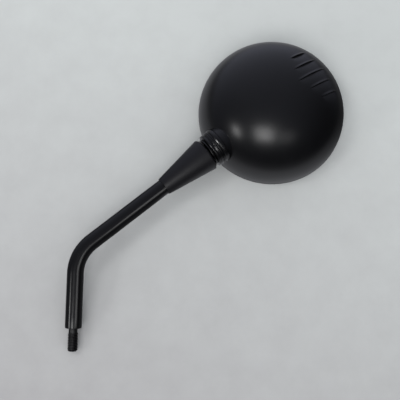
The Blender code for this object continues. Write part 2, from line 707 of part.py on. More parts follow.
def build_housing_shell(head):
    place = dome_shift()
    back = neck_turn()
    outer = dome_outline(RIM_RADIUS, DOME_HEIGHT, SHELL_EDGE, DOME_RINGS)
    shell = add_object("housing_shell", revolve(outer, DOME_SEGMENTS), head, place, "shell_plastic")

    inner = dome_outline(INNER_RIM_RADIUS, DOME_HEIGHT - DOME_WALL, SEAT_TOP, CAVITY_RINGS)
    inner[0] = (INNER_RIM_RADIUS, SHELL_EDGE - OVERRUN)
    inner.insert(0, (0.0, SHELL_EDGE - OVERRUN))
    cavity = add_object("shell_cavity", revolve(inner, CAVITY_SEGMENTS), head, place)
    post_low = CARRIER_EDGE_HEIGHT + CARRIER_THICKNESS - carrier_screw_drop() + FIT_GAP
    post = CARRIER_BOSS_DIAMETER / 2
    posts = [cylinder(post, post_low, DOME_HEIGHT, SMALL_SEGMENTS, spot) for spot in carrier_screw_places()]
    combine(cavity, add_object("shell_posts", gather(posts), head, place), "DIFFERENCE")
    boss = CLAMP_BOSS_DIAMETER / 2
    boss_end = NECK_TUBE_END - FIT_GAP
    bosses = [cylinder(boss, 0.0, boss_end, SMALL_SEGMENTS, spot) for spot in clamp_screw_places()]
    combine(cavity, add_object("shell_clamp_bosses", gather(bosses), head, back), "DIFFERENCE")
    combine(shell, cavity, "DIFFERENCE")
    neck = add_object("shell_neck", revolve(neck_outline(), NECK_SEGMENTS), head, back)
    carrier_room = cylinder(INNER_RIM_RADIUS, 0.0, SEAT_TOP, CAVITY_SEGMENTS)
    combine(neck, add_object("carrier_room", carrier_room, head, place), "DIFFERENCE")
    combine(shell, neck, "UNION")

    groove_top = SNAP_GROOVE_START + SNAP_GROOVE_WIDTH
    groove = INNER_RIM_RADIUS + SNAP_GROOVE_DEPTH
    groove_outline = [
        (INNER_RIM_RADIUS - OVERRUN, SNAP_GROOVE_START - SNAP_GROOVE_DEPTH - OVERRUN),
        (groove, SNAP_GROOVE_START),
        (groove, groove_top),
        (INNER_RIM_RADIUS - OVERRUN, groove_top + SNAP_GROOVE_DEPTH + OVERRUN),
    ]
    groove_cutter = revolve(groove_outline, CAVITY_SEGMENTS)
    combine(shell, add_object("snap_groove", groove_cutter, head, place), "DIFFERENCE")

    # The bore's corners lie between the neck's own, so that no edges fall on each other.
    half_step = Matrix.Rotation(math.pi / NECK_SEGMENTS, 4, "Z")
    bore = revolve(neck_bore_outline(), NECK_SEGMENTS)
    combine(shell, add_object("neck_bore", bore, head, back @ half_step), "DIFFERENCE")

    hole = CLAMP_SCREW_DIAMETER / 2 + FIT_GAP
    low = BRIDGE_FRONT - CLAMP_SCREW_LENGTH - OVERRUN
    high = NECK_TUBE_END + OVERRUN
    holes = [cylinder(hole, low, high, SMALL_SEGMENTS, spot) for spot in clamp_screw_places()]
    combine(shell, add_object("clamp_screw_holes", gather(holes), head, back), "DIFFERENCE")

    pilot = CARRIER_SCREW_DIAMETER / 2 + FIT_GAP
    low = post_low - OVERRUN
    high = CARRIER_EDGE_HEIGHT + CARRIER_SCREW_LENGTH + OVERRUN
    pilots = [cylinder(pilot, low, high, SMALL_SEGMENTS, spot) for spot in carrier_screw_places()]
    combine(shell, add_object("carrier_screw_pilots", gather(pilots), head, place), "DIFFERENCE")

    combine(shell, add_object("gill_cutter", gill_cutter(), head, place), "DIFFERENCE")


def glass_sag(radius):
    """How far the convex glass stands proud of its edge at a radius."""
    return (GLASS_RADIUS**2 - radius**2) / (2 * GLASS_SPHERE_RADIUS)


def curved_disc(radius, edge_height, thickness, chamfer=0.0):
    """Outline of a thin disc that follows the curve of the glass."""
    rings = [radius * i / GLASS_RINGS for i in range(GLASS_RINGS)]
    outline = [(r, edge_height - glass_sag(r)) for r in rings]
    low = edge_height - glass_sag(radius)
    outline += [(radius - chamfer, low)]
    if chamfer:
        outline += [(radius, low + chamfer)]
        outline += [(radius, low + thickness - chamfer)]
    outline += [(radius - chamfer, low + thickness)]
    outline += [(r, edge_height + thickness - glass_sag(r)) for r in reversed(rings)]
    return outline


def carrier_screw_drop():
    """How far the backing plate stands down at the screws."""
    return glass_sag(CARRIER_SCREW_REACH)


def countersunk_radii(play):
    """Head and shank radius of a countersunk screw; play widens them to its hole."""
    return CARRIER_SCREW_HEAD / 2 + play, CARRIER_SCREW_DIAMETER / 2 + play


def build_glass_carrier(head):
    disc = curved_disc(CARRIER_RADIUS, CARRIER_EDGE_HEIGHT, CARRIER_THICKNESS)
    carrier = add_object(
        "glass_carrier", revolve(disc, CAVITY_SEGMENTS), head, dome_shift(), "carrier_plastic",
    )
    head_radius, shank = countersunk_radii(FIT_GAP)
    base = CARRIER_EDGE_HEIGHT - carrier_screw_drop()
    cone_top = base + head_radius - shank
    outline = [
        (0.0, base - OVERRUN), (head_radius, base - OVERRUN), (head_radius, base),
        (shank, cone_top), (shank, cone_top + OVERRUN), (0.0, cone_top + OVERRUN),
    ]
    holes = [revolve(outline, SMALL_SEGMENTS, spot) for spot in carrier_screw_places()]
    combine(carrier, add_object("carrier_holes", gather(holes), head, dome_shift()), "DIFFERENCE")


def build_carrier_screws(head):
    head_radius, shank = countersunk_radii(0.0)
    base = CARRIER_EDGE_HEIGHT - carrier_screw_drop()
    cone_top = base + head_radius - shank
    tip = base + CARRIER_SCREW_LENGTH
    outline = [
        (0.0, base), (head_radius, base), (shank, cone_top),
        (shank, tip - shank), (shank / 2, tip), (0.0, tip),
    ]
    for i, spot in enumerate(carrier_screw_places()):
        screw = revolve(outline, SMALL_SEGMENTS)
        add_object(f"carrier_screw_{i + 1}", screw, head, dome_shift() @ spot, "zinc_steel")


def build_foam_pad(head):
    disc = curved_disc(GLASS_RADIUS - FOAM_MARGIN, FOAM_EDGE_HEIGHT, FOAM_THICKNESS)
    add_object("foam_pad", revolve(disc, CAVITY_SEGMENTS), head, dome_shift(), "foam")


def build_mirror_glass(head):
    disc = curved_disc(GLASS_RADIUS, GLASS_EDGE_HEIGHT, GLASS_THICKNESS, GLASS_EDGE_CHAMFER)
    add_object("mirror_glass", revolve(disc, CAVITY_SEGMENTS), head, dome_shift(), "silvered_glass")


def build_glass_bezel(head):
    lip = GLASS_RADIUS - BEZEL_LIP_OVERLAP
    bead = INNER_RIM_RADIUS + SNAP_GROOVE_DEPTH - FIT_GAP
    slope = bead - BEZEL_WALL_OUTER
    bead_low = SNAP_GROOVE_START + FIT_GAP
    bead_high = SNAP_GROOVE_START + SNAP_GROOVE_WIDTH - FIT_GAP
    outline = [
        (lip + BEZEL_EDGE_CHAMFER, 0.0),
        (RIM_RADIUS - BEZEL_EDGE_CHAMFER, 0.0),
        (RIM_RADIUS, BEZEL_EDGE_CHAMFER),
        (RIM_RADIUS, BEZEL_FLANGE),
        (BEZEL_WALL_OUTER, BEZEL_FLANGE),
        (BEZEL_WALL_OUTER, bead_low - slope),
        (bead, bead_low),
        (bead, bead_high),
        (BEZEL_WALL_OUTER, bead_high + slope),
        (BEZEL_WALL_OUTER, BEZEL_HEIGHT),
        (BEZEL_WALL_INNER, BEZEL_HEIGHT),
        (BEZEL_WALL_INNER, BEZEL_FLANGE),
        (lip, BEZEL_FLANGE),
        (lip, BEZEL_EDGE_CHAMFER),
    ]
    add_object("glass_bezel", revolve(outline, CAVITY_SEGMENTS), head, dome_shift(), "bezel_plastic")


def main():
    clear_scene()
    stem_end = add_guide("stem_end_guide", stem_end_place())
    head = add_guide("head_guide", head_place())

    build_stem_rod()
    build_stem_cone(stem_end)
    build_ball_stud(stem_end)
    build_lock_nut(stem_end)
    build_lock_washer(stem_end)

    build_ball_liner(head)
    build_ball_cup(head)
    build_joint_spring(head)
    build_spring_washer(head)

    build_housing_shell(head)
    build_clamp_bridge(head)
    build_clamp_screws(head)
    build_glass_carrier(head)
    build_carrier_screws(head)
    build_foam_pad(head)
    build_mirror_glass(head)
    build_glass_bezel(head)


main()
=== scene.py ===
# %% [markdown]
# A round motorcycle mirror, in Blender 4.5
#
# The part is already modelled as plain solids, in metres, with its moving bodies. This script
# keeps that frame fixed and gives every piece its finished surface: the domed housing with its
# gill steps, the ringed neck, the tapered sleeve, the bent bar with a rolled thread, the sprung
# ball joint inside the neck and the convex glass. Each step says what the real piece is, how it
# could be made, and why this way was chosen.

# %% Load the fixed frame
import json
import math

import bmesh
import bpy
import numpy as np
from mathutils import Matrix, Vector


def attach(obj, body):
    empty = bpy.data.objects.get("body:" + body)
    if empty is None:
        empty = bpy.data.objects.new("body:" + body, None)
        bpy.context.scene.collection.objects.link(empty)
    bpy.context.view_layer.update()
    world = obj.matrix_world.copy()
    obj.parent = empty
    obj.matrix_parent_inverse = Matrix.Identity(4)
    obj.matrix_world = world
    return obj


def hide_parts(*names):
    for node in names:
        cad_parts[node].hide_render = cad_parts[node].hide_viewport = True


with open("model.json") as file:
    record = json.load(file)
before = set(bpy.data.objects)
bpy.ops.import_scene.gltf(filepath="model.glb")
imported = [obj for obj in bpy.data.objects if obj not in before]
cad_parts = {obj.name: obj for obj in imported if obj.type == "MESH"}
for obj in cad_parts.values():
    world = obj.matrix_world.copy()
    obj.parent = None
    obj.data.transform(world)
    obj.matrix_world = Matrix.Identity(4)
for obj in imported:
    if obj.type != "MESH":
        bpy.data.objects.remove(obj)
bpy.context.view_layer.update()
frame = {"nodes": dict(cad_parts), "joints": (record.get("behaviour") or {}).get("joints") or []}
MM = 0.001

# %% [markdown]
# Four local frames place everything. The head's frame comes from the three hinge axes that stand
# for its ball joint: they cross in the ball's centre, and they are its X, Y and Z. The neck's
# frame has Z along the neck, and the dome's frame stands on the rim's plane with Z out of the
# dome. The arm's frame has Z up the bar's upper run, and starts in the ball's centre too.

# %% Local frames of the head, the neck, the dome and the arm
hinges = {joint["name"]: joint for joint in frame["joints"]}
ball_centre = Vector(hinges["neck_turn"]["pos_m"])
axis_names = ("neck_turn", "ball_tilt", "ball_swing")
head_axes = [Vector(hinges[name]["axis"]).normalized() for name in axis_names]
head_frame = Matrix.LocRotScale(ball_centre, Matrix(head_axes).transposed(), None)

RIM_RADIUS = 61.6 * MM
NECK_REACH = 60.0 * MM
NECK_HEIGHT = 21.0 * MM
neck_frame = head_frame @ Matrix.Rotation(math.pi / 2, 4, "Y")
dome_frame = head_frame @ Matrix.Translation(Vector((NECK_REACH, 0, -NECK_HEIGHT)))

BEND_ANGLE = math.radians(50.4)
arm_axis = Vector((math.sin(BEND_ANGLE), 0, math.cos(BEND_ANGLE)))
arm_side = Vector((0, -1, 0))
arm_turn = Matrix((arm_side.cross(arm_axis), arm_side, arm_axis)).transposed()
arm_frame = Matrix.LocRotScale(ball_centre, arm_turn, None)
print("ball centre in mm:", [round(v / MM, 2) for v in ball_centre])

# %% [markdown]
# The mirror lies glass down on a pale table, and the photograph looks nearly straight down at it.
# So the table is the plane of the rim, and the camera stands 14 degrees off its normal. The
# picture's right and up directions are written from the arm's direction on that table. The
# camera comes early, because every comparison needs it.

# %% Camera at the photograph's viewing angle
arm_on_table = head_axes[0]
table_normal = head_axes[2]
table_side = table_normal.cross(arm_on_table)
PICTURE_TURN = math.radians(37.07)
CAMERA_LEAN = math.radians(14.0)
CAMERA_DISTANCE = 0.54
DOME_IN_PICTURE = (0.060262, 0.075025)

picture_right = arm_on_table * math.cos(PICTURE_TURN) - table_side * math.sin(PICTURE_TURN)
picture_up = arm_on_table * math.sin(PICTURE_TURN) + table_side * math.cos(PICTURE_TURN)
rim_centre = dome_frame.translation
aim = rim_centre - picture_right * DOME_IN_PICTURE[0] - picture_up * DOME_IN_PICTURE[1]
view_back = table_normal * math.cos(CAMERA_LEAN) - picture_up * math.sin(CAMERA_LEAN)
view_up = picture_up * math.cos(CAMERA_LEAN) + table_normal * math.sin(CAMERA_LEAN)

camera_data = bpy.data.cameras.new("photo_camera")
camera_data.sensor_width = 36.0
camera_data.lens = 58.5
camera = bpy.data.objects.new("photo_camera", camera_data)
camera_turn = Matrix((view_up.cross(view_back), view_up, view_back)).transposed()
camera.matrix_world = Matrix.LocRotScale(aim + view_back * CAMERA_DISTANCE, camera_turn, None)
bpy.context.scene.collection.objects.link(camera)
bpy.context.scene.camera = camera
print("camera at", [round(v, 3) for v in camera.location])

# %% [markdown]
# A few small helpers serve every material and every node tree. Colours are written as sRGB hex,
# as they are picked on a screen, and one function turns them to the linear values that Blender's
# shaders use. The others add nodes. An input of a node is a plain value, an earlier node or one
# of its outputs. A longer rule is written as a table with one node a row, where text among the
# inputs names an earlier result.

# %% Helpers for colours and nodes
MATH = "ShaderNodeMath"
VECTOR_MATH = "ShaderNodeVectorMath"
RANGE = "ShaderNodeMapRange"
SMOOTH = {"interpolation_type": "SMOOTHSTEP"}
FLOATS = {"data_type": "FLOAT"}


def to_linear(code):
    """sRGB hex to linear red, green, blue and alpha."""
    shares = [int(code[i:i + 2], 16) / 255 for i in (0, 2, 4)]
    return [s / 12.92 if s <= 0.04045 else ((s + 0.055) / 1.055) ** 2.4 for s in shares] + [1.0]


def feed(node, inputs):
    """Set a node's inputs to plain values, or link them to earlier nodes."""
    for key, value in inputs.items():
        if isinstance(value, bpy.types.Node):
            value = value.outputs[0]
        if isinstance(value, bpy.types.NodeSocket):
            node.id_data.links.new(value, node.inputs[key])
        else:
            node.inputs[key].default_value = value


def add_node(tree, kind, settings=None, inputs=None):
    node = tree.nodes.new(kind)
    for key, value in (settings or {}).items():
        setattr(node, key, value)
    feed(node, inputs or {})
    return node


def add_rows(tree, known, rows):
    """Nodes from rows of result, kind, settings and inputs; a second word names a second output."""
    for result, kind, settings, inputs in rows:
        if isinstance(settings, str):
            settings = {"operation": settings}
        pairs = enumerate(inputs) if isinstance(inputs, tuple) else inputs.items()
        sources = {key: known.get(v, v) if isinstance(v, str) else v for key, v in pairs}
        known.update(zip(result.split(), add_node(tree, kind, settings, sources).outputs))
    return known


def new_material(name):
    material = bpy.data.materials.new(name)
    material.use_nodes = True
    return material, material.node_tree


# %% [markdown]
# Most finishes here have the same build: a base colour, a fine grain in the surface and a
# roughness that drifts a little, as handling and moulding leave it. One function builds that
# from real sizes in millimetres. What differs is written for each finish: colour, roughness,
# metallic value, IOR, and the grain's size and height.

# %% One builder for grained finishes
HANDLING_PATCH = 18 * MM


def grained_finish(
    name, code, roughness, grain_mm, height_mm, metallic=0.0, ior=1.5, drift=0.05, tone=0.15,
):
    material, tree = new_material(name)
    place = add_node(tree, "ShaderNodeTexCoord").outputs["Object"]
    grain = add_node(tree, "ShaderNodeTexNoise", None, {
        "Vector": place, "Scale": 1 / (grain_mm * MM), "Detail": 3.0, "Roughness": 0.55,
    })
    handling = add_node(tree, "ShaderNodeTexNoise", None, {
        "Vector": place, "Scale": 1 / HANDLING_PATCH, "Detail": 4.0, "Roughness": 0.6,
    })
    shine = add_node(tree, RANGE, None, {
        "Value": handling, "From Min": 0.3, "From Max": 0.7,
        "To Min": roughness - drift, "To Max": roughness + drift,
    })
    base = to_linear(code)
    dark = [c * (1 - tone) for c in base[:3]] + [1.0]
    light = [c * (1 + tone) for c in base[:3]] + [1.0]
    colour = add_node(tree, "ShaderNodeMix", {"data_type": "RGBA"}, {
        "Factor": handling, 6: dark, 7: light,
    })
    bump = add_node(tree, "ShaderNodeBump", None, {
        "Height": grain, "Distance": height_mm * MM, "Strength": 1.0,
    })
    feed(tree.nodes["Principled BSDF"], {
        "Metallic": metallic, "IOR": ior,
        "Base Color": colour.outputs[2], "Roughness": shine, "Normal": bump,
    })
    print("finish", name, "grain", grain_mm, "mm")
    return material


# %% [markdown]
# The plastics. The housing is black ABS from a mould with a fine spark-eroded texture: satin,
# with soft window reflections. The bezel is the same plastic from a smoother mould, and the
# neck's rings come from a polished part of it and shine a little more. The sleeve is a soft
# thermoplastic, clearly matter. The backing plate never shows, and is plain black ABS. The liner
# and the cup are natural nylon, off white and slightly waxy, and the foam is matt and dark grey.

# %% Moulded plastics
satin_abs = grained_finish("satin_moulded_abs", "0A0A0C", 0.30, 0.35, 0.006, drift=0.015)
bezel_abs = grained_finish("smooth_moulded_abs", "0A0A0C", 0.30, 0.5, 0.004, drift=0.02)
neck_abs = grained_finish("bright_moulded_abs", "060607", 0.27, 0.5, 0.002, drift=0.01)
sleeve_tpe = grained_finish("matt_moulded_tpe", "0E0D11", 0.46, 0.4, 0.012, ior=1.48, drift=0.03)
carrier_abs = grained_finish("plain_moulded_abs", "18181A", 0.5, 0.6, 0.01, ior=1.53)
natural_nylon = grained_finish("natural_nylon", "D6D2C4", 0.45, 0.8, 0.006, ior=1.53, tone=0.04)
closed_foam = grained_finish("closed_cell_foam", "3A3A3C", 0.9, 0.45, 0.08, ior=1.45, drift=0.04)

# %% [markdown]
# The metals. The bar has a satin black powder coat with a slight orange peel, whose waves are
# about two millimetres long, under a thin clear layer that sharpens its highlights. The stud is
# blackened steel under a film of oil. The ball is ground and polished, the screws, the nut and
# the plate are zinc plated, and the spring is oiled steel.

# %% Coated and plated metals
black_coat = grained_finish("satin_powder_coat", "09090A", 0.30, 1.6, 0.006, ior=1.2, drift=0.015)
feed(black_coat.node_tree.nodes["Principled BSDF"], {"Coat Weight": 0.6, "Coat Roughness": 0.2})
black_oxide = grained_finish("black_oxide_steel", "0C0C0E", 0.42, 0.3, 0.008, drift=0.06)
polished_steel = grained_finish("polished_steel", "A8A8AA", 0.14, 0.2, 0.001, metallic=1.0, tone=0.05)
zinc_plate = grained_finish("zinc_plated_steel", "B4B6B4", 0.3, 0.25, 0.003, metallic=1.0, tone=0.1)
oiled_steel = grained_finish("oiled_spring_steel", "5A5A5E", 0.32, 0.3, 0.004, metallic=1.0, tone=0.1)

# %% [markdown]
# The glass is a clear convex disc with silver behind it. Seen from the front it is almost a pure
# mirror with a faint cool tint, so a metal with very low roughness stands for it, under a clear
# coat that gives the front face its own weak reflection.

# %% Silvered glass
silvered_glass, glass_tree = new_material("silvered_mirror_glass")
glass_place = add_node(glass_tree, "ShaderNodeTexCoord").outputs["Object"]
haze = add_node(glass_tree, "ShaderNodeTexNoise", None, {
    "Vector": glass_place, "Scale": 1 / (25 * MM), "Detail": 5.0,
})
glass_colour = add_node(glass_tree, "ShaderNodeMix", {"data_type": "RGBA"}, {
    "Factor": haze, 6: to_linear("DDE3E5"), 7: to_linear("E3E8E9"),
})
feed(glass_tree.nodes["Principled BSDF"], {
    "Metallic": 1.0, "Coat Weight": 1.0, "Coat Roughness": 0.01, "Base Color": glass_colour.outputs[2],
    "Roughness": add_node(glass_tree, RANGE, None, {"Value": haze, "To Min": 0.01, "To Max": 0.03}),
})
print("finish", silvered_glass.name, "haze 25 mm")

# %% [markdown]
# Real edges are never sharp: a moulded or turned corner has a small radius, and it is what
# catches the light. So outlines are drawn with corners in millimetres and then rounded by one
# function, and turned pieces are made by spinning the rounded outline about an axis. The mesh is
# written ring by ring, which keeps the poles closed and the rings even.

# %% Helpers for turned pieces
CORNER_STEPS = 4
SHARP_DEGREES = 35


def in_metres(rows_mm):
    return [tuple(v * MM for v in row) for row in rows_mm]


def rounded(corners_mm):
    """Round a closed outline's corners; each is radius from the axis, height and rounding in mm."""
    corners = in_metres(corners_mm)
    points = []
    for i, (r, h, rounding) in enumerate(corners):
        here = np.array((r, h))
        back = np.array(corners[i - 1][:2]) - here
        ahead = np.array(corners[(i + 1) % len(corners)][:2]) - here
        a, b = back / np.linalg.norm(back), ahead / np.linalg.norm(ahead)
        half = math.acos(max(-1.0, min(1.0, float(a @ b)))) / 2
        if rounding == 0 or half > math.pi / 2 - 0.01:
            points.append(tuple(here))
            continue
        room = 0.45 * min(np.linalg.norm(back), np.linalg.norm(ahead))
        reach = min(rounding / math.tan(half), room)
        centre = here + (a + b) / np.linalg.norm(a + b) * reach / math.cos(half)
        start, end = here + a * reach - centre, here + b * reach - centre
        sweep = math.pi - 2 * half
        for k in range(CORNER_STEPS + 1):
            t = k / CORNER_STEPS
            swung = math.sin((1 - t) * sweep) * start + math.sin(t * sweep) * end
            points.append(tuple(centre + swung / math.sin(sweep)))
    return points


def spin_outline(outline, steps):
    bm = bmesh.new()
    angles = [2 * math.pi * k / steps for k in range(steps)]
    rings = []
    for r, h in outline:
        if r < 1e-7:
            rings.append([bm.verts.new((0, 0, h))])
        else:
            rings.append([bm.verts.new((r * math.cos(a), r * math.sin(a), h)) for a in angles])
    for low, high in zip(rings, rings[1:] + rings[:1]):
        for k in range(steps):
            j = (k + 1) % steps
            corners = [low[k % len(low)], low[j % len(low)], high[j % len(high)], high[k % len(high)]]
            corners = list(dict.fromkeys(corners))
            if len(corners) > 2:
                bm.faces.new(corners)
    return bm


def new_mesh(name, bm):
    bmesh.ops.recalc_face_normals(bm, faces=bm.faces)
    mesh = bpy.data.meshes.new(name)
    bm.to_mesh(mesh)
    bm.free()
    return mesh


def new_object(name, mesh):
    obj = bpy.data.objects.new(name, mesh)
    bpy.context.scene.collection.objects.link(obj)
    return obj


def mesh_object(name, bm, place, material, sharp=SHARP_DEGREES):
    """A finished object at the origin, with its place in its mesh."""
    bmesh.ops.transform(bm, matrix=place, verts=bm.verts)
    mesh = new_mesh(name, bm)
    mesh.shade_smooth()
    mesh.set_sharp_from_angle(angle=math.radians(sharp))
    mesh.materials.append(material)
    return new_object(name, mesh)


def turned(name, outline, steps, place, material, sharp=SHARP_DEGREES):
    return mesh_object(name, spin_outline(outline, steps), place, material, sharp)


def carve(obj, cutter, place):
    """Cut a tool's shape out of a piece with an exact Boolean."""
    tool = mesh_object("carving_tool", cutter, place, obj.data.materials[0])
    modifier = obj.modifiers.new("carve", "BOOLEAN")
    modifier.solver = "EXACT"
    modifier.operation = "DIFFERENCE"
    modifier.object = tool
    carved = bpy.data.meshes.new_from_object(obj.evaluated_get(bpy.context.evaluated_depsgraph_get()))
    obj.modifiers.clear()
    tidied = bmesh.new()
    tidied.from_mesh(carved)
    bmesh.ops.dissolve_degenerate(tidied, dist=0.0005 * MM, edges=tidied.edges)
    tidied.to_mesh(carved)
    tidied.free()
    carved.name = obj.name
    carved.set_sharp_from_angle(angle=math.radians(SHARP_DEGREES))
    obj.data = carved
    bpy.data.objects.remove(tool)
    print(obj.name, "carved to", len(carved.polygons), "faces")


def settle(obj, body, slot, *nodes):
    """A piece rides on its body and stands for its solids; the slot is not used."""
    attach(obj, body)
    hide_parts(*nodes)
    print(obj.name, "rides on", body, len(obj.data.polygons), "faces")


# %% [markdown]
# A Geometry Nodes tree is run on a source mesh and its result kept as a plain mesh. Every tree
# ends the same way: real geometry, smooth faces and its finish. The tree's inputs are set by
# identifier before the first evaluation, because two sockets may share a name.

# %% Helpers for Geometry Nodes
def grow_tree(name, inputs, rows):
    """A tree from its named inputs and its rows; the last row gives the geometry."""
    tree = bpy.data.node_groups.new(name, "GeometryNodeTree")
    for label, kind in [("Geometry", "Geometry"), ("Finish", "Material")] + inputs:
        tree.interface.new_socket(label, in_out="INPUT", socket_type="NodeSocket" + kind)
    tree.interface.new_socket("Geometry", in_out="OUTPUT", socket_type="NodeSocketGeometry")
    known = {socket.name: socket for socket in add_node(tree, "NodeGroupInput").outputs}
    add_rows(tree, known, rows + [
        ("real", "GeometryNodeRealizeInstances", None, {"Geometry": rows[-1][0]}),
        ("smooth", "GeometryNodeSetShadeSmooth", None, {"Geometry": "real"}),
        ("painted", "GeometryNodeSetMaterial", None, {"Geometry": "smooth", "Material": "Finish"}),
        ("", "NodeGroupOutput", None, ("painted",)),
    ])
    print("tree", name, "with", len(tree.nodes), "nodes")
    return tree


def run_tree(name, tree, source, values, place, sharp=SHARP_DEGREES):
    holder = new_object(name + "_source", source)
    modifier = holder.modifiers.new("grow", "NODES")
    modifier.node_group = tree
    for item in tree.interface.items_tree:
        if item.in_out == "INPUT" and item.name in values:
            modifier[item.identifier] = values[item.name]
    made = holder.evaluated_get(bpy.context.evaluated_depsgraph_get())
    mesh = bpy.data.meshes.new_from_object(made)
    bpy.data.objects.remove(holder)
    mesh.name = name
    mesh.transform(place)
    mesh.set_sharp_from_angle(angle=math.radians(sharp))
    print(name, "grown by", tree.name)
    return new_object(name, mesh)


# %% [markdown]
# The housing is a deep dome, a little fuller than half a ball: its outline is a superellipse
# turned about the dome's axis. Its five gills run in straight lines across it, so the mesh's rows
# are cut as planes parallel to them, like slices of a loaf, and not as rings. Rows gather where
# a gill's wall will be, so that the walls stay crisp and the rest stays light.

# %% Sizes of the dome and its gills
DOME_HEIGHT = 55.0 * MM
DOME_FULLNESS = 2.15
DOME_WALL = 2.5 * MM
DOME_COLUMNS = 150
SHELL_EDGE = 1.8 * MM
EDGE_ROUNDING = 0.35 * MM
OUTERMOST_GILL = 2
gill_values = {
    "Outermost": float(OUTERMOST_GILL), "Pitch": 0.162 * RIM_RADIUS, "Offset": -0.065 * RIM_RADIUS,
    "Start": 0.308 * RIM_RADIUS, "Start step": 0.075 * RIM_RADIUS,
    "End": 0.763 * RIM_RADIUS, "End step": 0.029 * RIM_RADIUS,
    "Ramp": 0.138 * RIM_RADIUS, "End ramp share": 0.4,
    "Depth": 0.85 * MM, "Wall": 0.5 * MM, "Lip": 0.75 * MM, "Lip width": 2.2 * MM,
}
ROWS_NEAR_WALL_MM = [
    2.2, 1.8, 1.4, 1.0, 0.6, 0.3, 0.2, 0.1, 0.0,
    -0.1, -0.2, -0.3, -0.6, -1.2, -2.4, -3.6, -4.8, -6.0, -7.0,
]


def dome_rows(limit):
    """Row places from rim to rim: even in angle, and dense at the gill walls."""
    rows = [limit * math.sin(math.radians(a)) for a in np.linspace(-90, 90, 91)]
    wall_rows = [
        gill_values["Offset"] + gill * gill_values["Pitch"] + step * MM
        for gill in range(-OUTERMOST_GILL, OUTERMOST_GILL + 1) for step in ROWS_NEAR_WALL_MM
    ]
    rows = [
        y for y in rows
        if abs(y) > limit - 0.01 * MM or min(abs(y - wall) for wall in wall_rows) > 0.6 * MM
    ]
    return sorted(rows + wall_rows)


gill_slices = dome_rows(RIM_RADIUS)
print("rows on the dome:", len(gill_slices))

# %% [markdown]
# The dome's skin is written as rows and columns: a row is a slice, and its columns run from rim
# to rim with even angles. Both ends of the loaf close in one point on the rim. The same grid on a
# smaller dome makes the inner skin, and a few loops between the two round the moulded edge.

# %% The dome's base mesh
def skin_points(radius, height, edge):
    """Rows of points on one skin of the dome, down to a given edge height, and the edge's radius."""
    rim = radius * (1 - (edge / height) ** DOME_FULLNESS) ** (1 / DOME_FULLNESS)
    scale = rim / RIM_RADIUS
    skin = []
    for y in gill_slices[1:-1]:
        y = y * scale
        half_width = math.sqrt(rim**2 - y**2)
        row = []
        for c in range(DOME_COLUMNS + 1):
            x = half_width * math.sin(math.radians(-90 + 180 * c / DOME_COLUMNS))
            share = min(math.hypot(x, y) / radius, 1.0) ** DOME_FULLNESS
            row.append(Vector((x, y, height * (1 - share) ** (1 / DOME_FULLNESS))))
        skin.append(row)
    return skin, rim


def scaled_vert(bm, vert, radius, height):
    flat = Vector((vert.co.x, vert.co.y, 0)).normalized() * radius
    return bm.verts.new((flat.x, flat.y, height))


def dome_base():
    """Both skins and the rounded edge between them; the outer skin is marked for the gills."""
    bm = bmesh.new()
    mask = bm.verts.layers.float.new("outer_skin")
    edge = SHELL_EDGE + EDGE_ROUNDING
    outer_points, outer_rim = skin_points(RIM_RADIUS, DOME_HEIGHT, edge)
    inner_points, inner_rim = skin_points(RIM_RADIUS - DOME_WALL, DOME_HEIGHT - DOME_WALL, edge)
    borders = []
    for points, rim, outer in ((outer_points, outer_rim, 1.0), (inner_points, inner_rim, 0.0)):
        grid = [[bm.verts.new(p) for p in row] for row in points]
        for row in grid:
            for vert in row:
                vert[mask] = outer
        first = bm.verts.new((0, -rim, edge))
        last = bm.verts.new((0, rim, edge))
        for low, high in zip(grid, grid[1:]):
            for c in range(DOME_COLUMNS):
                bm.faces.new((low[c], low[c + 1], high[c + 1], high[c]))
        for c in range(DOME_COLUMNS):
            bm.faces.new((first, grid[0][c + 1], grid[0][c]))
            bm.faces.new((last, grid[-1][c], grid[-1][c + 1]))
        borders.append([first] + [row[-1] for row in grid] + [last] + [row[0] for row in reversed(grid)])
    loops = [borders[0]]
    for rim, outward, up in (
        (outer_rim, -0.3, 0.3), (outer_rim, -1.0, 0.0), (inner_rim, 1.0, 0.0), (inner_rim, 0.3, 0.3),
    ):
        radius, height = rim + outward * EDGE_ROUNDING, SHELL_EDGE + up * EDGE_ROUNDING
        loops.append([scaled_vert(bm, vert, radius, height) for vert in borders[0]])
    loops.append(borders[1])
    for near, far in zip(loops, loops[1:]):
        for k in range(len(near)):
            j = (k + 1) % len(near)
            bm.faces.new((near[k], near[j], far[j], far[k]))
    return new_mesh("dome_base", bm)


base_mesh = dome_base()
print("dome base:", len(base_mesh.vertices), "points")

# %% [markdown]
# A gill is a shallow step: a steep wall at its upper side, from which a ramp climbs back to the
# dome, and a low raised lip along the wall's top. It is deepest halfway along and fades at both
# ends. Five cutters and Booleans would do it, but one rule can press all five at once. Each point
# finds its gill by dividing its distance across the gills by their pitch, and then how far it
# lies along the gill and down the ramp. Those two give the depth and the lip's height, and the
# point moves that far along its normal.

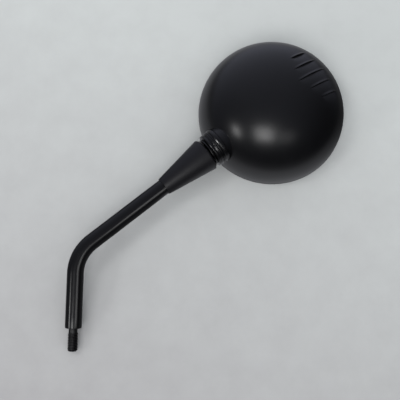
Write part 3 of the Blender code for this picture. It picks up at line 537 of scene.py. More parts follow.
# %% Geometry Nodes tree: press the gills into the skin
gill_tree = grow_tree("press_gills", [(label, "Float") for label in gill_values], [
    ("position", "GeometryNodeInputPosition", None, ()),
    ("X Y", "ShaderNodeSeparateXYZ", None, ("position",)),
    # Which gill it is, counted from the middle one, and how far down its ramp the point lies.
    ("from_middle", MATH, "SUBTRACT", ("Y", "Offset")),
    ("past_wall", MATH, "SUBTRACT", ("from_middle", "Lip width")),
    ("in_pitches", MATH, "DIVIDE", ("past_wall", "Pitch")),
    ("whole", MATH, "CEIL", ("in_pitches",)),
    ("lowest", MATH, "MULTIPLY", ("Outermost", -1.0)),
    ("not_below", MATH, "MAXIMUM", ("whole", "lowest")),
    ("number", MATH, "MINIMUM", ("not_below", "Outermost")),
    ("rank", MATH, "ABSOLUTE", ("number",)),
    ("wall_place", MATH, "MULTIPLY", ("number", "Pitch")),
    ("down_ramp", MATH, "SUBTRACT", ("wall_place", "from_middle")),
    # How far along the gill it lies, which makes the gill swell in the middle.
    ("start", MATH, "MULTIPLY_ADD", ("rank", "Start step", "Start")),
    ("shorter", MATH, "MULTIPLY", ("rank", "End step")),
    ("end", MATH, "SUBTRACT", ("End", "shorter")),
    ("along", RANGE, None, {"Value": "X", "From Min": "start", "From Max": "end", "To Min": -1.0}),
    ("squared", MATH, "MULTIPLY", ("along", "along")),
    ("rest", MATH, "SUBTRACT", (1.0, "squared")),
    ("swell", MATH, "SQRT", ("rest",)),
    # The step: a steep wall and a ramp.
    ("ramp_share", RANGE, None, {"Value": "swell", "To Min": "End ramp share"}),
    ("ramp", MATH, "MULTIPLY", ("ramp_share", "Ramp")),
    ("level", RANGE, None, {"Value": "down_ramp", "From Max": "ramp", "To Min": 1.0, "To Max": 0.0}),
    ("climb", MATH, "MULTIPLY", ("level", "level")),
    ("half_wall", MATH, "MULTIPLY", ("Wall", 0.5)),
    ("above_wall", MATH, "MULTIPLY", ("half_wall", -1.0)),
    ("wall", RANGE, SMOOTH, {"Value": "down_ramp", "From Min": "above_wall", "From Max": "half_wall"}),
    ("profile", MATH, "MULTIPLY", ("wall", "climb")),
    ("shaped", MATH, "MULTIPLY", ("profile", "swell")),
    ("sunk", MATH, "MULTIPLY", ("shaped", "Depth")),
    # The lip above the wall.
    ("before_wall", MATH, "MULTIPLY", ("Lip width", -1.0)),
    ("lip_rise", RANGE, SMOOTH, {"Value": "down_ramp", "From Min": "before_wall", "From Max": 0.0}),
    ("lip_fall", MATH, "SUBTRACT", (1.0, "wall")),
    ("lip_shape", MATH, "MULTIPLY", ("lip_rise", "lip_fall")),
    ("lip_swell", MATH, "MULTIPLY", ("lip_shape", "swell")),
    ("raised", MATH, "MULTIPLY", ("lip_swell", "Lip")),
    # Only the outer skin moves.
    ("change", MATH, "SUBTRACT", ("sunk", "raised")),
    ("skin", "GeometryNodeInputNamedAttribute", FLOATS, {"Name": "outer_skin"}),
    ("only_outer", MATH, "MULTIPLY", ("change", "skin")),
    ("inward", MATH, "MULTIPLY", ("only_outer", -1.0)),
    ("normal", "GeometryNodeInputNormal", None, ()),
    ("push", VECTOR_MATH, "SCALE", {0: "normal", "Scale": "inward"}),
    ("pressed", "GeometryNodeSetPosition", None, {"Geometry": "Geometry", "Offset": "push"}),
])
gill_values["Finish"] = satin_abs
housing_dome = run_tree("housing_dome", gill_tree, base_mesh, gill_values, dome_frame)

# %% [markdown]
# The neck is moulded with the dome and holds the ball. It has a thin lip round the ball's mouth
# and three steps of rounded rings, the middle one a pair. Its outline is turned about the neck's
# axis: outside over the lip and the rings, and back inside along the bore and the ball's seat.
# The rings shine more than the tube behind them. Below, the neck is cut flat above the backing
# plate. The dome gets a hole where the neck's bore runs, hidden inside the neck's wall.

# %% The ringed neck
BALL_RADIUS = 10.5 * MM
SEAT_RADIUS = BALL_RADIUS + 0.3 * MM
NECK_MOUTH = 7.6 * MM
NECK_TUBE_RADIUS = 14.2 * MM
NECK_TUBE_END = 28.2 * MM
NECK_BORE_RADIUS = 12.9 * MM
RING_GROOVE = 0.6 * MM
RINGS_MM = [
    # radius, place along the neck, half width
    (11.8, -6.8, 0.8), (14.2, -4.4, 1.2), (14.5, -1.7, 0.7), (14.5, -0.3, 0.7), (14.9, 2.9, 1.9),
]
RING_FULLNESS = 2.4
RING_STEPS = 10
RINGS_END = 4.8 * MM
PLATE_ROOM = 14.0 * MM
PLATE_ROOM_START = 1.0 * MM
NECK_SHARP_DEGREES = 40


def ring_crown(radius, centre, half):
    """A rounded ring in the outline, from just past its groove over its crown and back."""
    root = radius - RING_GROOVE
    reach = half - 0.02 * MM
    points = [(root, centre - reach)]
    for k in range(1, RING_STEPS):
        share = 2 * k / RING_STEPS - 1
        rise = (1 - abs(share) ** RING_FULLNESS) ** (1 / RING_FULLNESS)
        points.append((radius - RING_GROOVE * (1 - rise), centre + half * share))
    return points + [(root, centre + reach)]


neck_outline = [(math.sqrt(SEAT_RADIUS**2 - NECK_MOUTH**2), -NECK_MOUTH)]
for radius, centre, half in in_metres(RINGS_MM):
    neck_outline += ring_crown(radius, centre, half)
neck_outline += [(NECK_TUBE_RADIUS, RINGS_END + 0.2 * MM), (NECK_TUBE_RADIUS, NECK_TUBE_END)]
neck_outline += [(NECK_BORE_RADIUS, NECK_TUBE_END), (NECK_BORE_RADIUS, 1.5 * MM)]
seat_heights = np.linspace(-1.5 * MM, -NECK_MOUTH + 0.1 * MM, 10)
neck_outline += [(math.sqrt(SEAT_RADIUS**2 - h**2), h) for h in seat_heights]
neck_mesh = spin_outline(neck_outline, 144)
for vert in neck_mesh.verts:
    if vert.co.z > PLATE_ROOM_START:
        vert.co.x = min(vert.co.x, PLATE_ROOM)
for face in neck_mesh.faces:
    face.material_index = int(face.calc_center_median().z > RINGS_END)
housing_neck = mesh_object("housing_neck", neck_mesh, neck_frame, neck_abs, NECK_SHARP_DEGREES)
housing_neck.data.materials.append(satin_abs)
bore_tool = in_metres([(0.0, -9.0), (13.5, -9.0), (13.5, 34.0), (0.0, 34.0)])
carve(housing_dome, spin_outline(bore_tool, 96), neck_frame)
settle(housing_dome, "head", "shell_plastic", "housing_shell")
settle(housing_neck, "head", "shell_plastic", "housing_shell")

# %% [markdown]
# Inside the housing stand three posts for the backing plate and two bosses for the neck's plate.
# Each kind repeats round an axis, and so do their screws. So one small tree places copies of a
# turned piece round an axis. The far ends of posts and bosses are then moved into the middle of
# the dome's wall, so that none hangs free and none comes through.

# %% Geometry Nodes tree: copies round an axis
round_inputs = [("Count", "Int"), ("Reach", "Float"), ("First angle", "Float")]
round_tree = grow_tree("repeat_round_axis", round_inputs, [
    ("index", "GeometryNodeInputIndex", None, ()),
    ("spacing", MATH, "DIVIDE", (2 * math.pi, "Count")),
    ("bearing", MATH, "MULTIPLY_ADD", ("index", "spacing", "First angle")),
    ("east", MATH, "COSINE", ("bearing",)),
    ("north", MATH, "SINE", ("bearing",)),
    ("unit", "ShaderNodeCombineXYZ", None, ("east", "north")),
    ("spots", VECTOR_MATH, "SCALE", {0: "unit", "Scale": "Reach"}),
    ("points", "GeometryNodePoints", None, {"Count": "Count", "Position": "spots"}),
    ("copies", "GeometryNodeInstanceOnPoints", None, {"Points": "points", "Instance": "Geometry"}),
])


def repeated(name, part, count, reach, first_angle, finish, place):
    """Copies of one piece round an axis."""
    return run_tree(name, round_tree, new_mesh(name + "_one", part), {
        "Count": count, "Reach": reach, "First angle": first_angle, "Finish": finish,
    }, place)


# %% Posts and bosses inside the housing
CARRIER_REACH = 42.0 * MM
CARRIER_TOP = 6.9 * MM
CLAMP_REACH = 18.5 * MM
MID_WALL = 1.2 * MM
POST_FAR_END = 20.0 * MM
BOSS_FAR_END = 9.0 * MM
mid_radius = RIM_RADIUS - MID_WALL
mid_height = DOME_HEIGHT - MID_WALL

post_corners = [
    (1.8, 0.0, 0.0), (4.0, 0.0, 0.2), (4.0, 34.0, 0.0),
    (0.0, 34.0, 0.0), (0.0, 10.3, 0.0), (1.8, 9.3, 0.0),
]
post_place = dome_frame @ Matrix.Translation(Vector((0, 0, CARRIER_TOP)))
post = spin_outline(rounded(post_corners), 32)
carrier_posts = repeated("carrier_posts", post, 3, CARRIER_REACH, 0.0, satin_abs, post_place)
to_dome = dome_frame.inverted()
for vert in carrier_posts.data.vertices:
    local = to_dome @ vert.co
    if local.z > CARRIER_TOP + POST_FAR_END:
        share = (math.hypot(local.x, local.y) / mid_radius) ** DOME_FULLNESS
        local.z = mid_height * (1 - share) ** (1 / DOME_FULLNESS)
        vert.co = dome_frame @ local
settle(carrier_posts, "head", "shell_plastic", "housing_shell")

boss_corners = [
    (0.0, 8.0, 0.0), (4.2, 8.0, 0.0), (4.2, 27.9, 0.2),
    (2.3, 27.9, 0.0), (2.3, 17.5, 0.0), (0.0, 16.3, 0.0),
]
boss = spin_outline(rounded(boss_corners), 32)
clamp_bosses = repeated("clamp_bosses", boss, 2, CLAMP_REACH, math.pi / 2, satin_abs, neck_frame)
to_neck = neck_frame.inverted()
for vert in clamp_bosses.data.vertices:
    local = to_neck @ vert.co
    if local.z < BOSS_FAR_END:
        share = max(1 - ((NECK_HEIGHT - local.x) / mid_height) ** DOME_FULLNESS, 0.0)
        radius = mid_radius * share ** (1 / DOME_FULLNESS)
        local.z = NECK_REACH - math.sqrt(radius**2 - local.y**2)
        vert.co = neck_frame @ local
settle(clamp_bosses, "head", "shell_plastic", "housing_shell")

# %% [markdown]
# The screws have a cross recess, cut once into one screw of each kind before it is copied. The
# recess is a cross with four equal arms that narrows toward its floor, as a driver bit does.

# %% Screws with cross recesses
def cross_tool(reach, half, floor, top):
    """A cross-shaped punch whose floor is smaller than its mouth, from sizes in mm."""
    bm = bmesh.new()
    loops = []
    for height, scale in ((floor, 0.55), (top, 1.0)):
        far = reach * scale
        arm = in_metres([(far, -half, height), (far, half, height), (half, half, height)])
        turns = [Matrix.Rotation(quarter * math.pi / 2, 3, "Z") for quarter in range(4)]
        loops.append([bm.verts.new(turn @ Vector(corner)) for turn in turns for corner in arm])
    low, high = loops
    bm.faces.new(low)
    bm.faces.new(high)
    for k in range(len(low)):
        j = (k + 1) % len(low)
        bm.faces.new((low[k], low[j], high[j], high[k]))
    return bm


def punched(corners, tool):
    """One screw, turned from its outline and punched with its recess."""
    screw = turned("one_screw", rounded(corners), 48, Matrix(), zinc_plate)
    carve(screw, tool, Matrix())
    bm = bmesh.new()
    bm.from_mesh(screw.data)
    bpy.data.objects.remove(screw)
    return bm


pan_corners = [
    (0.0, 17.8, 0.0), (1.4, 17.8, 0.0), (2.0, 18.6, 0.0), (2.0, 31.8, 0.0),
    (3.6, 31.8, 0.2), (3.6, 34.4, 1.3), (0.0, 34.4, 0.0),
]
pan_screw = punched(pan_corners, cross_tool(2.0, 0.42, 32.8, 34.6))
clamp_screws = repeated("clamp_screws", pan_screw, 2, CLAMP_REACH, math.pi / 2, zinc_plate, neck_frame)
settle(clamp_screws, "head", "zinc_steel", "clamp_screw_left", "clamp_screw_right")

sunk_corners = [
    (0.0, 4.57, 0.0), (3.0, 4.57, 0.1), (1.5, 6.07, 0.1),
    (1.5, 14.07, 0.0), (0.8, 15.57, 0.1), (0.0, 15.57, 0.0),
]
sunk_screw = punched(sunk_corners, cross_tool(1.7, 0.36, 5.77, 4.37))
carrier_screws = repeated("carrier_screws", sunk_screw, 3, CARRIER_REACH, 0.0, zinc_plate, dome_frame)
settle(carrier_screws, "head", "zinc_steel", "carrier_screw_1", "carrier_screw_2", "carrier_screw_3")

# %% [markdown]
# The sleeve is a hollow tapered cover. It grips the bar at its small end and hides the back of
# the ball joint at its wide end, where its mouth is rounded over.

# %% The tapered sleeve
sleeve_corners = [
    (6.8, -52.9, 0.1), (7.3, -52.9, 0.3), (14.0, -10.2, 1.2), (12.7, -9.0, 0.5),
    (11.2, -9.0, 0.3), (7.1, -42.9, 0.2), (6.8, -42.9, 0.1),
]
stem_sleeve = turned("stem_sleeve", rounded(sleeve_corners), 128, arm_frame, sleeve_tpe)
settle(stem_sleeve, "stem", "sleeve_rubber", "stem_cone")

# %% [markdown]
# The bar is a round steel rod, bent once. Its centre line is a straight run, a bend and another
# straight run, and a round profile is swept along it. The sweep is a Geometry Nodes tree: it
# turns a chain of edges into a curve and gives it a round section, whose size at each point
# comes with the chain, so that the ends can be rounded off.

# %% Centre line of the bar
ROD_RADIUS = 6.5 * MM
LOWER_ROD_LENGTH = 57.7 * MM
ARM_LENGTH = 139.8 * MM
BEND_RADIUS = 32.0 * MM
ROD_TOP = 26.6 * MM
BAR_EDGE = 0.6 * MM
tangent = BEND_RADIUS * math.tan(BEND_ANGLE / 2)
bend_start = LOWER_ROD_LENGTH - tangent
bend_length = BEND_RADIUS * BEND_ANGLE
bar_length = bend_start + bend_length + ARM_LENGTH - tangent - ROD_TOP


def bar_point(distance):
    turn = min(max((distance - bend_start) / BEND_RADIUS, 0.0), BEND_ANGLE)
    run_in = min(distance, bend_start)
    past = max(distance - bend_start - bend_length, 0.0)
    across = BEND_RADIUS * (1 - math.cos(turn)) + past * math.sin(turn)
    return (across, 0.0, run_in + BEND_RADIUS * math.sin(turn) + past * math.cos(turn))


edge_angles = np.linspace(0, math.pi / 2, 6)
edge_stops = [
    (BAR_EDGE * (1 - math.cos(a)), ROD_RADIUS - BAR_EDGE * (1 - math.sin(a))) for a in edge_angles
]
bar_stops = edge_stops + [(d, ROD_RADIUS) for d in np.linspace(bend_start * 0.2, bend_start, 4)]
bar_stops += [(bend_start + bend_length * i / 48, ROD_RADIUS) for i in range(1, 49)]
bar_stops += [(bar_length - d, r) for d, r in reversed(edge_stops)]
bar_edges = [(i, i + 1) for i in range(len(bar_stops) - 1)]
bar_chain = bpy.data.meshes.new("bar_chain")
bar_chain.from_pydata([bar_point(d) for d, r in bar_stops], bar_edges, [])
section_sizes = bar_chain.attributes.new("section", "FLOAT", "POINT")
section_sizes.data.foreach_set("value", [r for d, r in bar_stops])
print("bar length in mm:", round(bar_length / MM, 1))

# %% Geometry Nodes tree: sweep a round section along a chain
sweep_tree = grow_tree("sweep_round_section", [("Sides", "Int")], [
    ("line", "GeometryNodeMeshToCurve", None, ("Geometry",)),
    ("circle", "GeometryNodeCurvePrimitiveCircle", None, {"Resolution": "Sides", "Radius": 1.0}),
    ("size", "GeometryNodeInputNamedAttribute", FLOATS, {"Name": "section"}),
    ("tube", "GeometryNodeCurveToMesh", None, {
        "Curve": "line", "Profile Curve": "circle", "Scale": "size", "Fill Caps": True,
    }),
])
stem_bar = run_tree("stem_bar", sweep_tree, bar_chain, {"Sides": 72, "Finish": black_coat}, Matrix())
hole_tool = in_metres([(0.0, -45.3), (4.3, -43.1), (4.3, -20.0), (0.0, -20.0)])
carve(stem_bar, spin_outline(hole_tool, 64), arm_frame)
settle(stem_bar, "stem", "painted_rod", "stem_rod")

# %% [markdown]
# Below the bar's shoulder stands the stud: a relief groove, then an M8 thread with 1.25 mm pitch
# and a chamfered tip. A rolled thread is one ridge that winds round the stud. A grid that is
# sheared by one pitch in each turn lets every row follow the helix, so that crests and roots stay
# crisp. At both ends the rows are held level, which ends the thread as a die would, and the two
# round openings that this leaves are capped.

# %% Geometry Nodes tree: roll a thread
THREAD_SIDES = 64
ROWS_PER_PITCH = 10
THREAD_PITCH = 1.25 * MM
CREST_END, ROOT_START = 0.09, 0.41
STUD_LENGTH = 18.0 * MM
RELIEF_LENGTH = 3.5 * MM
thread_values = {
    "Radius": 4.0 * MM, "Depth": 0.72 * MM, "Pitch": THREAD_PITCH, "Bottom": -STUD_LENGTH,
    "Top": -RELIEF_LENGTH, "Chamfer": 1.0 * MM,
}
thread_tree = grow_tree("roll_thread", [(label, "Float") for label in thread_values], [
    ("position", "GeometryNodeInputPosition", None, ()),
    ("X Y", "ShaderNodeSeparateXYZ", None, ("position",)),
    # X counts the turns and Y the pitches: the height follows both, and stays within the ends.
    ("turns", MATH, "ADD", ("X", "Y")),
    ("free_height", MATH, "MULTIPLY_ADD", ("turns", "Pitch", "Bottom")),
    ("above", MATH, "MAXIMUM", ("free_height", "Bottom")),
    ("height", MATH, "MINIMUM", ("above", "Top")),
    # The ridge: a flat crest, a flank and a flat root in each pitch.
    ("phase", MATH, "PINGPONG", ("Y", 0.5)),
    ("flank", RANGE, None, {
        "Value": "phase", "From Min": CREST_END, "From Max": ROOT_START, "To Min": 0.0, "To Max": "Depth",
    }),
    ("crest", MATH, "SUBTRACT", ("Radius", "flank")),
    # The chamfered tip, and the cone that ends the thread at the relief groove.
    ("from_tip", MATH, "SUBTRACT", ("height", "Bottom")),
    ("tip_cone", MATH, "ADD", ("Radius", "from_tip")),
    ("tip_radius", MATH, "SUBTRACT", ("tip_cone", "Chamfer")),
    ("to_top", MATH, "SUBTRACT", ("Top", "height")),
    ("root_radius", MATH, "SUBTRACT", ("Radius", "Depth")),
    ("top_cone", MATH, "ADD", ("root_radius", "to_top")),
    ("ends", MATH, "MINIMUM", ("tip_radius", "top_cone")),
    ("radius_here", MATH, "MINIMUM", ("crest", "ends")),
    # Wound round the stud.
    ("angle", MATH, "MULTIPLY", ("X", 2 * math.pi)),
    ("cosine", MATH, "COSINE", ("angle",)),
    ("sine", MATH, "SINE", ("angle",)),
    ("x_place", MATH, "MULTIPLY", ("cosine", "radius_here")),
    ("y_place", MATH, "MULTIPLY", ("sine", "radius_here")),
    ("wound", "ShaderNodeCombineXYZ", None, ("x_place", "y_place", "height")),
    ("rolled", "GeometryNodeSetPosition", None, {"Geometry": "Geometry", "Position": "wound"}),
    ("joined", "GeometryNodeMergeByDistance", None, {"Geometry": "rolled", "Distance": 0.002 * MM}),
])

# %% The threaded stud
THREAD_SHARP_DEGREES = 50
thread_turns = (STUD_LENGTH - RELIEF_LENGTH) / THREAD_PITCH
row_count = int(ROWS_PER_PITCH * (thread_turns + 2)) + 1
flat_grid = bmesh.new()
across = [k / THREAD_SIDES for k in range(THREAD_SIDES + 1)]
sheet_rows = [
    [flat_grid.verts.new((x, row / ROWS_PER_PITCH - 1, 0)) for x in across] for row in range(row_count)
]
for low, high in zip(sheet_rows, sheet_rows[1:]):
    for k in range(THREAD_SIDES):
        flat_grid.faces.new((low[k], low[k + 1], high[k + 1], high[k]))
thread_sheet = bpy.data.meshes.new("thread_sheet")
flat_grid.to_mesh(thread_sheet)
flat_grid.free()
thread_values["Finish"] = black_oxide
stud_thread = run_tree(
    "stud_thread", thread_tree, thread_sheet, thread_values, Matrix(), THREAD_SHARP_DEGREES,
)
capped = bmesh.new()
capped.from_mesh(stud_thread.data)
bmesh.ops.holes_fill(capped, edges=[edge for edge in capped.edges if edge.is_boundary])
bmesh.ops.recalc_face_normals(capped, faces=capped.faces)
capped.to_mesh(stud_thread.data)
capped.free()
stud_thread.data.set_sharp_from_angle(angle=math.radians(THREAD_SHARP_DEGREES))
settle(stud_thread, "stem", "painted_rod", "stem_rod")

relief_corners = [(0.0, -4.1, 0.0), (3.4, -4.1, 0.1), (3.4, 0.2, 0.0), (0.0, 0.2, 0.0)]
stud_relief = turned("stud_relief", rounded(relief_corners), 64, Matrix(), black_oxide)
settle(stud_relief, "stem", "painted_rod", "stem_rod")

# %% [markdown]
# The ball stud is turned from one bar: a polished ball, a waist and a threaded shank. Only the
# ball and the waist can be seen, through the gap between the sleeve and the neck. The rest of
# the joint is inside: a nylon liner and cup, a coil spring and the thrust washer.

# %% The ball stud
waist_radius = 4.3 * MM
ball_start = math.asin(-math.sqrt(BALL_RADIUS**2 - waist_radius**2) / BALL_RADIUS)
ball_angles = np.linspace(math.pi / 2, ball_start, 48)[1:]
ball_outline = [(0.0, BALL_RADIUS)]
ball_outline += [(BALL_RADIUS * math.cos(a), BALL_RADIUS * math.sin(a)) for a in ball_angles]
ball_outline += in_metres([(4.3, -15.0), (4.0, -15.3), (4.0, -41.2), (3.2, -42.0), (0.0, -42.0)])
joint_ball = turned("joint_ball", ball_outline, 96, arm_frame, polished_steel)
key_radius = 2.5 * MM / math.cos(math.pi / 6)
key_tool = [(0.0, 6.5 * MM), (key_radius, 6.5 * MM), (key_radius, 12.0 * MM), (0.0, 12.0 * MM)]
carve(joint_ball, spin_outline(key_tool, 6), arm_frame)
settle(joint_ball, "stem", "polished_ball", "ball_stud")

# %% Geometry Nodes tree: wind a coil spring
SPRING_LOW = 16.4 * MM
SPRING_HIGH = 25.6 * MM
spring_values = {
    "Mean radius": 8.2 * MM, "Wire radius": 1.1 * MM, "Turns": 3.0, "Height": SPRING_HIGH - SPRING_LOW,
}
spring_tree = grow_tree("wind_spring", [(label, "Float") for label in spring_values], [
    ("helix", "GeometryNodeCurveSpiral", None, {
        "Resolution": 64, "Rotations": "Turns", "Height": "Height",
        "Start Radius": "Mean radius", "End Radius": "Mean radius",
    }),
    ("wire", "GeometryNodeCurvePrimitiveCircle", None, {"Resolution": 20, "Radius": "Wire radius"}),
    ("coil", "GeometryNodeCurveToMesh", None, {
        "Curve": "helix", "Profile Curve": "wire", "Fill Caps": True,
    }),
])
spring_values["Finish"] = oiled_steel
spring_place = neck_frame @ Matrix.Translation(Vector((0, 0, SPRING_LOW)))
spring_source = bpy.data.meshes.new("spring_source")
coil_spring = run_tree("coil_spring", spring_tree, spring_source, spring_values, spring_place)
settle(coil_spring, "seat", "spring_steel", "joint_spring")

# %% [markdown]
# The glass is slightly convex, so that it shows a wide field. Its curve is a shallow arc of a
# 1.2 m ball, turned about the dome's axis, with a ground edge. The bezel is a turned ring: a
# flange under the shell's edge, a lip over the glass's edge and a wall inside the shell.

# %% The convex glass
GLASS_SPHERE = 1200.0 * MM
GLASS_RADIUS = 57.3 * MM
GLASS_LOW = 1.8 * MM
GLASS_THICKNESS = 2.0 * MM
GLASS_CHAMFER = 0.4 * MM
GLASS_SHARP_DEGREES = 25


def glass_face(height, radii):
    return [(r, height - (GLASS_RADIUS**2 - r**2) / (2 * GLASS_SPHERE)) for r in radii]


glass_top = GLASS_LOW + GLASS_THICKNESS
glass_radii = np.linspace(0, GLASS_RADIUS - GLASS_CHAMFER, 24)
glass_outline = glass_face(GLASS_LOW, glass_radii)
glass_outline += [(GLASS_RADIUS, GLASS_LOW + GLASS_CHAMFER), (GLASS_RADIUS, glass_top - GLASS_CHAMFER)]
glass_outline += glass_face(glass_top, reversed(glass_radii))
convex_glass = turned(
    "convex_glass", glass_outline, 180, dome_frame, silvered_glass, GLASS_SHARP_DEGREES,
)
settle(convex_glass, "head", "silvered_glass", "mirror_glass")

# %% The bezel
bezel_corners = [
    (55.5, 0.0, 0.5), (61.6, 0.0, 0.5), (61.6, 1.5, 0.2), (58.8, 1.5, 0.1),
    (58.8, 6.2, 0.2), (57.6, 6.2, 0.2), (57.6, 1.5, 0.1), (55.5, 1.5, 0.3),
]
rim_bezel = turned("rim_bezel", rounded(bezel_corners), 200, dome_frame, bezel_abs)
settle(rim_bezel, "head", "bezel_plastic", "glass_bezel")

# %% [markdown]
# The pieces that never show keep their solids, and only take their real finish.

# %% Finishes for the solids that stay
kept = {
    "ball_lock_nut": zinc_plate, "lock_washer": oiled_steel, "ball_liner": natural_nylon,
    "ball_cup": natural_nylon, "spring_washer": zinc_plate, "clamp_bridge": zinc_plate,
    "glass_carrier": carrier_abs, "foam_pad": closed_foam,
}
for node, material in kept.items():
    frame["nodes"][node].data.materials.clear()
    frame["nodes"][node].data.materials.append(material)
print("finished solids:", len(kept))

# %% [markdown]
# The table is a plain pale board just below the rim's plane. From behind it is see-through, so that views
# of the glass stay open. It takes the object's soft shadow. Its tone also carries painted light: it grows
# paler toward its far side, where more light falls, and noise adds the board's own slight mottling.

# %% The pale table
TABLE_HALF = 0.185
NEAR_END, FAR_END = -0.305, 0.06
MOTTLE = 0.4


def open_from_behind(tree, front):
    """Show a shader on the front of a sheet only."""
    both_sides = add_node(tree, "ShaderNodeMixShader", None, {
        0: add_node(tree, "ShaderNodeNewGeometry").outputs["Backfacing"], 1: front,
        2: add_node(tree, "ShaderNodeBsdfTransparent"),
    })
    feed(tree.nodes["Material Output"], {"Surface": both_sides})


def face_along(obj, direction):
    """Turn an open sheet so that its faces look along a direction."""
    if obj.data.polygons[0].normal.dot(direction) < 0:
        obj.data.flip_normals()


pale_table, table_tree = new_material("pale_table")
painted_light_direction = picture_right * 0.37 + picture_up * 0.93
rim_share = rim_centre.dot(painted_light_direction)
table_known = {"spot": add_node(table_tree, "ShaderNodeTexCoord").outputs["Object"]}
# Painted light: the share runs from the near end to the far end, as the light falls off across the board;
# the noise adds the board's own mottling.
add_rows(table_tree, table_known, [
    ("_ up_the_table", VECTOR_MATH, "DOT_PRODUCT", ("spot", tuple(painted_light_direction))),
    ("painted_light_share", RANGE, None, {
        "Value": "up_the_table", "From Min": rim_share + NEAR_END, "From Max": rim_share + FAR_END,
    }),
    ("mottle", "ShaderNodeTexNoise", None, {
        "Vector": "spot", "Scale": 1 / (22 * MM), "Detail": 6.0, "Roughness": 0.65,
    }),
    ("painted_light_and_mottle_share", MATH, "MULTIPLY_ADD", ("mottle", MOTTLE, "painted_light_share")),
    ("share", MATH, "SUBTRACT", ("painted_light_and_mottle_share", MOTTLE / 2)),
])
# The two colours are the painted-shade near end and the painted-light far end of the board.
table_tone = add_node(table_tree, "ShaderNodeMix", {"data_type": "RGBA"}, {
    "Factor": table_known["share"], 6: to_linear("A19FA0"), 7: to_linear("C3C5C4"),
})
table_shader = table_tree.nodes["Principled BSDF"]
feed(table_shader, {"Roughness": 0.7, "Base Color": table_tone.outputs[2]})
open_from_behind(table_tree, table_shader)

table_turn = Matrix((picture_right, picture_up, table_normal)).transposed()
table_centre = rim_centre - picture_right * 0.06 - picture_up * 0.0625 - table_normal * 0.4 * MM
table_place = Matrix.LocRotScale(table_centre, table_turn, None)
board = bmesh.new()
bmesh.ops.create_grid(board, x_segments=1, y_segments=1, size=TABLE_HALF)
table_board = mesh_object("table_board", board, table_place, pale_table)
face_along(table_board, table_normal)
table_board.visible_glossy = False
print("table", 2 * TABLE_HALF, "m wide")

# %% [markdown]
# A pale world gives even light from everywhere. Three windows stand where the dome mirrors them
# in the photograph: a narrow one at the left, a broad one below and a weak one beside it. Two
# more draw the light lines on the bar and on the neck's rings. Light linking keeps each of them on
# its one piece, because the dome shows no glint of them. A side light brightens everything from
# the left and isn't mirrored. Their places are written in the picture's own axes: right, up and
# toward the viewer.

# %% Windows and world
WINDOWS = [
    # name, direction, distance, size, power, mirrored, the piece it lights alone
    ("narrow_window", (-0.77, -0.44, 0.46), 1.0, (0.08, 0.20), 0.85, True, None),
    ("broad_window", (-0.19, -0.61, 0.77), 2.2, (0.84, 0.76), 12.0, True, None),
    ("low_window", (0.30, -0.65, 0.70), 1.0, (0.34, 0.26), 0.30, True, None),
    ("bar_window", (0.50, -0.50, 0.70), 1.0, (0.40, 0.30), 0.9, True, stem_bar),
    ("neck_window", (-0.80, -0.40, 0.46), 1.0, (0.14, 0.14), 2.5, True, housing_neck),
    ("side_light", (-0.52, 0.06, 0.85), 1.2, (0.30, 0.30), 2.0, False, None),
]
for name, direction, distance, size, power, mirrored, piece in WINDOWS:
    light = bpy.data.lights.new(name, "AREA")
    light.shape = "RECTANGLE"
    light.size, light.size_y = size
    light.energy = power
    lamp = new_object(name, light)
    toward = (table_turn @ Vector(direction)).normalized()
    facing = toward.to_track_quat("Z", "Y")
    lamp.matrix_world = Matrix.LocRotScale(rim_centre + toward * distance, facing, None)
    lamp.visible_glossy = mirrored
    if piece:
        lit_alone = bpy.data.collections.new(piece.name + "_alone")
        lit_alone.objects.link(piece)
        lamp.light_linking.receiver_collection = lit_alone

world = bpy.data.worlds.new("pale_room")
bpy.context.scene.world = world
world.use_nodes = True
feed(world.node_tree.nodes["Background"], {"Color": to_linear("E4E8EA"), "Strength": 1.0})
print("windows:", len(WINDOWS))

# %% [markdown]
# Black plastic shows little of its own colour and mostly mirrors the room. In the photograph that
# room is bright beyond the picture's top, dim overhead and dark at the right. A large open shell
# stands for it, and a board in the table's plane for the lit table. Only reflections see them, so
# they neither shade nor light anything. The board has a round hole under the head and the shell
# is open below, so that the silvered glass mirrors the pale world.

# %% The dim room that the black parts mirror
WALL_GLOW = [
    (picture_up, 0.56), (-picture_up, 0.03), (-picture_right, 0.06), (picture_right, 0.01),
    (table_normal, 0.23), ((picture_up - picture_right).normalized(), 0.16),
]
TABLE_GLOW = [(picture_up, 0.50), (-picture_up, 0.62), (-picture_right, 0.42), (picture_right, 0.06)]
FAR_GLOW = 0.25
SHELL_RADIUS = 3.0
SHELL_FLOOR = -1.5
HOLE_RADIUS = RIM_RADIUS - 0.5 * MM
HOLE_BAND = 8 * MM


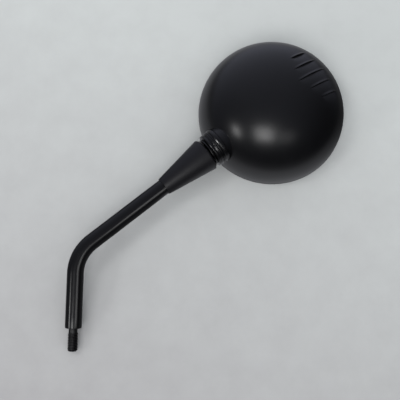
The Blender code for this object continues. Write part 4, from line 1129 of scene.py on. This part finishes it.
def glowing_material(name, code, lobes, fade_start, fade_end):
    """Light from lobes about the dome, weaker beyond a distance."""
    material, tree = new_material(name)
    tree.nodes.remove(tree.nodes["Principled BSDF"])
    place = add_node(tree, "ShaderNodeTexCoord").outputs["Object"]
    known = add_rows(tree, {"place": place, "glow": 0.0}, [
        ("from_head", VECTOR_MATH, "SUBTRACT", ("place", tuple(rim_centre))),
        ("outward", VECTOR_MATH, "NORMALIZE", ("from_head",)),
        ("_ distance", VECTOR_MATH, "LENGTH", ("from_head",)),
    ])
    for direction, strength in lobes:
        add_rows(tree, known, [
            ("_ facing", VECTOR_MATH, "DOT_PRODUCT", ("outward", tuple(direction))),
            ("lobe", MATH, "MAXIMUM", ("facing", 0.0)),
            ("soft", MATH, "POWER", ("lobe", 2.0)),
            ("glow", MATH, "MULTIPLY_ADD", ("soft", strength, "glow")),
        ])
    add_rows(tree, known, [
        ("fade", RANGE, None, {
            "Value": "distance", "From Min": fade_start, "From Max": fade_end,
            "To Min": 1.0, "To Max": FAR_GLOW,
        }),
        ("faded", MATH, "MULTIPLY", ("glow", "fade")),
        ("light", "ShaderNodeEmission", None, {"Color": to_linear(code), "Strength": "faded"}),
    ])
    open_from_behind(tree, known["light"])
    return material


shell = bmesh.new()
bmesh.ops.create_uvsphere(shell, u_segments=48, v_segments=24, radius=SHELL_RADIUS)
bmesh.ops.delete(shell, geom=[v for v in shell.verts if v.co.z < SHELL_FLOOR], context="VERTS")
room_walls = glowing_material("dim_room_walls", "E6EAFF", WALL_GLOW, 4.0, 5.0)
room_place = Matrix.LocRotScale(rim_centre, table_turn, None)
room_shell = mesh_object("room_shell", shell, room_place, room_walls)
face_along(room_shell, rim_centre - room_shell.data.polygons[0].center)

lit_board = bmesh.new()
bmesh.ops.create_grid(lit_board, x_segments=90, y_segments=90, size=TABLE_HALF)
hole_middle = table_place.inverted() @ rim_centre
hole_middle.z = 0.0
under_head = [v for v in lit_board.verts if (v.co - hole_middle).length < HOLE_RADIUS]
bmesh.ops.delete(lit_board, geom=under_head, context="VERTS")
for vert in lit_board.verts:
    if vert.is_boundary and (vert.co - hole_middle).length < HOLE_RADIUS + HOLE_BAND:
        vert.co = hole_middle + (vert.co - hole_middle).normalized() * HOLE_RADIUS
lit_table = glowing_material("lit_table", "ECEEF4", TABLE_GLOW, 0.10, 0.13)
mirrored_table = mesh_object("mirrored_table", lit_board, table_place, lit_table)
face_along(mirrored_table, table_normal)
for sheet in (room_shell, mirrored_table):
    for kind in ("camera", "diffuse", "transmission", "shadow", "volume_scatter"):
        setattr(sheet, "visible_" + kind, False)
    print(sheet.name, "is seen by reflections only")

bpy.context.scene.view_settings.view_transform = "Standard"
